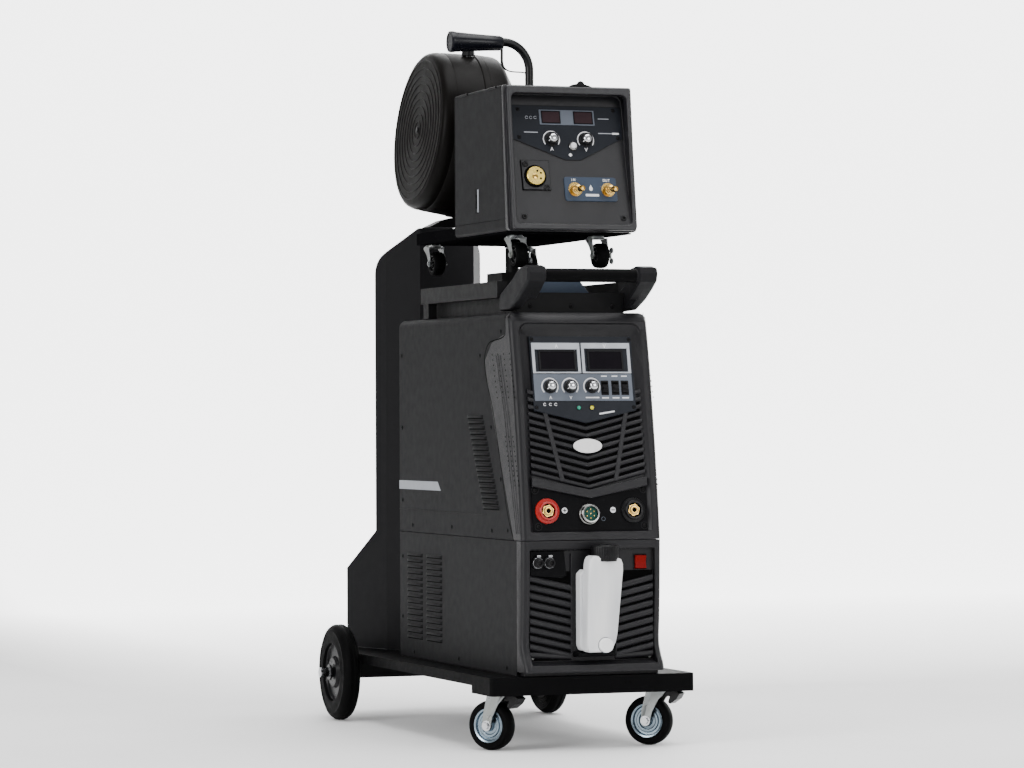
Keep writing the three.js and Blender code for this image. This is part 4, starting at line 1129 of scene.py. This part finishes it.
def add_top_lug():
    lug = Shape()
    arch = [(4, 1291), (52, 1291), (46, 1293.4), (37, 1295.5), (34, 1300), (29, 1302.2), (24, 1300.4),
            (21, 1296.4), (10, 1294)]
    lug.prism(leaning(-388, 0, 0), arch, -1.2, 1.2, DARK_COAT)
    lug.done("top_lug", "feeder", 0.3)


def add_feeder():
    def widths(a, b):
        if any(abs(p.y + 398.3 + (1294 - p.z) * 0.1311) >= 0.7 for p in (a, b)):
            return 0.8
        rim = max(abs(a.x), abs(b.x)) > 123 or max(a.z, b.z) > 1280 or min(a.z, b.z) < 1012
        return 3.0 if rim else 2.5

    dressed("feeder_bezel", CHAMFER, segments=3, width_of=widths)
    dressed("feeder_cover", COAT, 0.7)
    dressed("feeder_door", COAT, 0.5)
    # The base takes the darker, unglossy black: painted shade under the feeder.
    dressed("feeder_base", UNDERSIDE_SHADE_BLACK, 0.7)
    dressed("wire_drive", DARK_COAT, 0.8)
    dressed("drive_roll", STEEL, 0.4)
    dressed("pressure_arm", BLACK, 1.0)
    add_door_fittings()
    add_feeder_vents()
    add_top_lug()
    add_feeder_panel()
    add_feeder_handle()
    add_drum()
    for corner, x, y in (("front_left", -86, -321), ("front_right", 86, -321), ("rear_left", -102, 132),
            ("rear_right", 102, 132)):
        caster("feeder_caster_" + corner, Vector((x, y, 935)), Vector((0, -1, 0)), 25, 26, 22, 17, 16, 64.7)


FEEDER_KNOBS = (("feeder_current_knob", -32, "A"), ("feeder_voltage_knob", 40, "V"))
HOSE_TAILS = (-33, 36)


def add_feeder_displays(face):
    displays = Shape()
    for u0, u1 in ((-49.5, -9.6), (18, 58.5)):
        frame_of(displays, face, u0, u1, 33, 59, 1.8, 2.2, 3.6, DARK_PANEL)
        displays.slab(face, (u0 + 1.4, u1 - 1.4), (34.4, 57.6), (2.0, 2.9), BROWN_GLASS)
    displays.done("feeder_displays", "feeder", 0.25)


def add_feeder_marks(face):
    marks = Shape()
    above = face.out(1.3)
    for _, x, letter in FEEDER_KNOBS:
        marks.arc_strip(above, 15.8, 17.8, -38, 218, 0, 0.18, WHITE, (x, 0.5))
        marks.text(above, letter, x - 0.6, -19.1, 6.4, WHITE, 0.18)
    marks.ring(above, 6.9, 8.4, 0, 0.3, GREY_PLASTIC, (12, -13))
    marks.prism(above, [(1.3, -30.8), (5.3, -34.8), (9.3, -30.8), (5.3, -26.8)], 0, 0.18, WHITE)
    for x in (-80, -71, -62):
        marks.arc_strip(above, 2.4, 3.1, 20, 340, 0, 0.16, SILVER, (x, 45))
    marks.slab(above, (-88, -59), (13.6, 15.4), (0, 0.16), SILVER)
    marks.slab(above, (68, 98), (14.2, 15.8), (0, 0.16), SILVER)
    marks.slab(above, (98, 112), (13.2, 16.8), (0, 0.18), WHITE)
    marks.slab(above, (70, 93), (44.4, 45.8), (0, 0.16), SILVER)
    marks.done("feeder_panel_marks", "feeder")


def add_feeder_trim(face):
    button = Shape()
    at = face.moved(12, -13)
    button.lathe(at, [(0, 4.5), (6, 4.5), (6, 7), (5.2, 9), (3, 10), (0, 10.2)], WHITE, 28)
    button.skin("purge_button", 0.2, smooth=50)
    trim = Shape()
    trim.lathe(at, [(6.4, 1.2), (8.8, 1.2), (8.6, 4.4), (7.8, 5.2), (6.6, 5.2), (6.4, 1.2)], CHROME_DARK, 28)
    for u, v in ((-97, 61.5), (-99, 4), (104, 63), (109, 6)):
        trim.screw(face.out(1.2 if abs(u) < 111 else 0.3), u, v, 3.4, 1.8)
    for u, v in ((-102.6, -158.5), (105, -159)):
        trim.lathe(face, [(0, -0.2), (5.6, -0.2), (5.6, 1.4), (4.4, 2.6), (0, 2.6)], BLACK, 20, (u, v))
        # A black dot in each cap: painted shade in its hole.
        trim.disc(face, 2.4, 2.4, 2.8, SHADE_AND_PRINT_BLACK, 12, (u, v))
    trim.done("feeder_trim", "feeder", 0.25, smooth=40)


def add_euro_socket(face):
    euro = Shape()
    euro.slab(face, (-100.5, -43), (-104, -44), (0.3, 3.2), CHAMFER, 1.5, 0.5)
    # A black slab a little larger than the flange plate: a painted shadow line round the plate.
    euro.slab(face, (-101.6, -42), (-105.2, -43), (0.2, 0.9), SHADE_AND_PRINT_BLACK, 1.5)
    for u, v in ((-92.6, -52), (-51.5, -99)):
        euro.lathe(face, [(0, 3), (6.3, 3), (6.3, 4.4), (4.8, 5.6), (2.6, 5.6), (2.4, 3.8), (0, 3.8)], BLACK,
                20, (u, v))
    at = face.moved(-74, -77)
    # A black ring round the brass face: painted shade in the gap round it.
    euro.lathe(at, [(0, 3), (22.6, 3), (22.6, 5.6), (20.8, 5.8), (20.4, 4), (0, 4)], SHADE_AND_PRINT_BLACK, 44)
    euro.lathe(at, [(0, 3.8), (18.2, 3.8), (18.6, 9.4), (17.4, 10.6), (0, 10.6)], PALE_BRASS, 44)
    euro.lathe(at, [(0, 10.2), (5.6, 10.2), (5.6, 11.6), (4.8, 12.0), (0, 12.0)], BRASS, 28, (-3, -2.5))
    # A black slot and pin holes in the brass face: painted shade inside them.
    euro.bar(at, (-7, -1.6), (2, -3.4), 1.2, 11.6, 12.1, SHADE_AND_PRINT_BLACK)
    for u, v in ((3, 9), (10, 5), (9, -6.5)):
        euro.disc(at, 2.3, 10.4, 10.75, SHADE_AND_PRINT_BLACK, 14, (u, v))
    euro.skin("euro_socket", 0.25, smooth=40)


def add_water_fittings(face):
    water = Shape()
    at = face.moved(41, -101)
    water.slab(at, (-55, 55), (-25, 25), (0.3, 2.6), BLUE_SHEET, 6, 0.6)
    for x in HOSE_TAILS:
        out = Place(at.at(x, -1, 2.6) * 1000 - SHIFT, (1, 0, 0), (0, 0, 1))
        water.lathe(out, [(0, -2), (9.4, -2), (9.4, 9), (7.4, 9.8), (7.4, 15), (8.4, 15.6), (8.4, 18),
                (7, 18.8), (7, 24), (5.6, 25), (5.2, 31), (6.2, 32.4), (5.2, 38), (6.0, 39.2), (4.6, 43),
                (3.2, 43.6), (2.4, 41), (0, 41)], BRASS, 26)
    for x in HOSE_TAILS:
        hexagon(water, at.moved(x, -1, 2.4), 10.6, 5.4, BRASS)
    high = at.out(2.6)
    for text, x in (("IN", -36), ("OUT", 34)):
        for i, letter in enumerate(text):
            water.text(high, letter, x + 5.2 * (i - (len(text) - 1) / 2), 18.5, 4.4, WHITE, 0.18)
    water.prism(high, [(0, 9), (3.6, 2), (3.0, -2.4), (0, -3.8), (-3.0, -2.4), (-3.6, 2)], 0, 0.18, WHITE)
    water.slab(high, (-12, 16), (-15, -10), (0, 0.18), WHITE, 1)
    water.skin("water_fittings", 0.3, smooth=40)


def add_feeder_panel():
    face = leaning(-384, 1185, 14)
    panel = Shape()
    outline = [(-119, 1), (-103, -3), (-6, -41), (26, -41), (104, -2), (119, 4.5), (119, 70), (-119, 70)]
    panel.prism(face, outline, 0.15, 1.3, PANEL)
    for a, b in zip(outline, outline[1:] + outline[:1]):
        panel.bar(face, a, b, 1.3, 0.3, 1.45, GREY_PLASTIC)
    panel.slab(face, (-53.5, 62), (30.5, 61.5), (1.2, 2.4), STRIP, 1)
    panel.done("feeder_panel", "feeder", 0.3)
    add_feeder_displays(face)
    add_feeder_marks(face)
    for name, x, _ in FEEDER_KNOBS:
        add_knob(name, face.moved(x, 0.5, 1.3), 14)
    add_feeder_trim(face)
    add_euro_socket(face)
    add_water_fittings(face)


def add_feeder_handle():
    handle = Shape()
    x, y, top = 31, -90, 1405.5
    path = [spot(x, y, 1004), spot(x, y, 1200), spot(x, y, 1340)]
    path += [spot(x - 56 * (1 - cos(radians(a))), y, 1349 + 56.5 * sin(radians(a))) for a in range(5, 91, 5)]
    path += [spot(-34, y, top)]
    handle.tube(path, 8.8, BLACK, 24)
    axis = Place((0, y, top - 2.5), (0, 1, 0), (0, 0, 1))
    grip = [(0, -31), (14.2, -31), (15.4, -34), (16.4, -60), (18.4, -96), (20.6, -128), (21.8, -134),
            (22.0, -138), (21.2, -141.4), (18.6, -142), (17.6, -140.6), (0, -140)]
    handle.lathe(axis, grip[::-1], GRIP, 40)
    handle.lathe(axis, [(8.9, -33), (13.9, -33), (13.9, -29), (12.8, -27.6), (8.9, -27.6), (8.9, -33)], BLACK,
            32)
    handle.skin("feeder_handle", smooth=50)
    wire = Shape()
    points = [(-28.8, -90, 1398), (-28.7, -90, 1380), (-28.6, -90, 1366), (-26.5, -90, 1357),
            (-21, -90, 1350.5), (-12, -90, 1346.6), (-2.8, -90, 1345.4), (12, -90, 1345), (23, -90, 1344)]
    line = curve([spot(*p) for p in points], 5)
    sizes = [2.9 - 1.5 * min(1, max(0, (i - 14) / 10)) for i in range(len(line))]
    wire.tube(line, sizes, BLACK, 12)
    wire.done("wire_guide", "feeder", smooth=50)


def add_drum_cover(at):
    cover = Shape()
    profile = [(0, -135)]
    for r in (18, 34, 50, 66, 82, 98, 114, 130, 145):
        profile += [(r - 1.5, -135), (r - 0.7, -136.2), (r + 0.7, -136.2), (r + 1.5, -135)]
    profile += [(152, -134.6), (155, -134), (161, -129), (164, -122), (165.4, -114), (165.2, -106),
            (166.4, -104), (169.4, -60), (170.2, -46), (172, -44), (172, -31.4), (168.6, -31.4), (167.5, -45),
            (161, -118), (153, -131.6), (0, -131.8)]
    cover.lathe(at, profile, DRUM, 96)
    cover.lathe(at, [(0, -135.2), (7, -135.2), (7, -137), (5.4, -138), (0, -138)], BLACK, 28)
    cover.skin("spool_cover", smooth=32)


def add_drum_housing(at):
    housing = Shape()
    shell = [(0, 60), (98, 60), (105, 57), (138, 34), (164, 14), (170.5, 7), (172, 1), (172, -30.8),
            (168.8, -30.8), (168.8, 0), (160, 12), (101, 54), (98, 57), (24.8, 57), (24.8, -104), (22, -110),
            (14, -112), (0, -112)]
    housing.lathe(at, shell, DRUM, 96)
    for k in range(8):
        c = Vector(polar(1, 45 * k + 10))
        pts = [at.at(c.x * r, c.y * r, w + 1.5) for r, w in ((106, 57), (136, 36), (164, 14.5))]
        housing.tube(pts, 3.0, DRUM, 8)
    housing.slab(Place((0, 0, 0), (1, 0, 0), (0, 1, 0)), (52, 72), (105, 149), (1003.5, 1246), DARK_COAT, 2)
    housing.skin("spool_post", smooth=32)


def add_drum_fittings():
    knob = Shape()
    star = Place((-41, 82, 1397), (1, 0, 0), (0, 1, 0))
    turn = [2 * pi * i / 48 for i in range(48)]
    outline = [((12.5 + 2.6 * cos(6 * a)) * cos(a), (12.5 + 2.6 * cos(6 * a)) * sin(a)) for a in turn]
    knob.prism(star, outline, -4, 7, BLACK, 1.5)
    knob.disc(star, 7, -8, -3, BLACK, 20)
    knob.done("drum_clip", "feeder", 0.6)
    foot = Shape()
    foot.prism(leaning(137, 0, 0), [(-118, 1037), (-50, 1037), (-50, 1060), (-86, 1052)], -26, 26, DARK_COAT)
    foot.done("drum_foot", "feeder", 1.0)


def add_wire_spool(at):
    spool = Shape()
    spool.lathe(at, [(26.2, -15), (150, -15), (150, -19), (138, -19.2), (138, -112.8), (150, -113),
            (150, -117), (26.2, -117), (26.2, -15)], COPPER, 72)
    spool.skin("wire_spool", 0.4, smooth=40)


def add_drum():
    lean = radians(6)
    at = Place((0, 137, 1226), (0, 1, 0), (sin(lean), 0, cos(lean)))
    add_drum_cover(at)
    add_drum_housing(at)
    add_drum_fittings()
    add_wire_spool(at)


add_camera()
add_floor()
add_studio()
add_deck()
add_rear_wheels()
add_front_casters()
add_cooler()
add_power_source()
add_tray()
add_feeder()
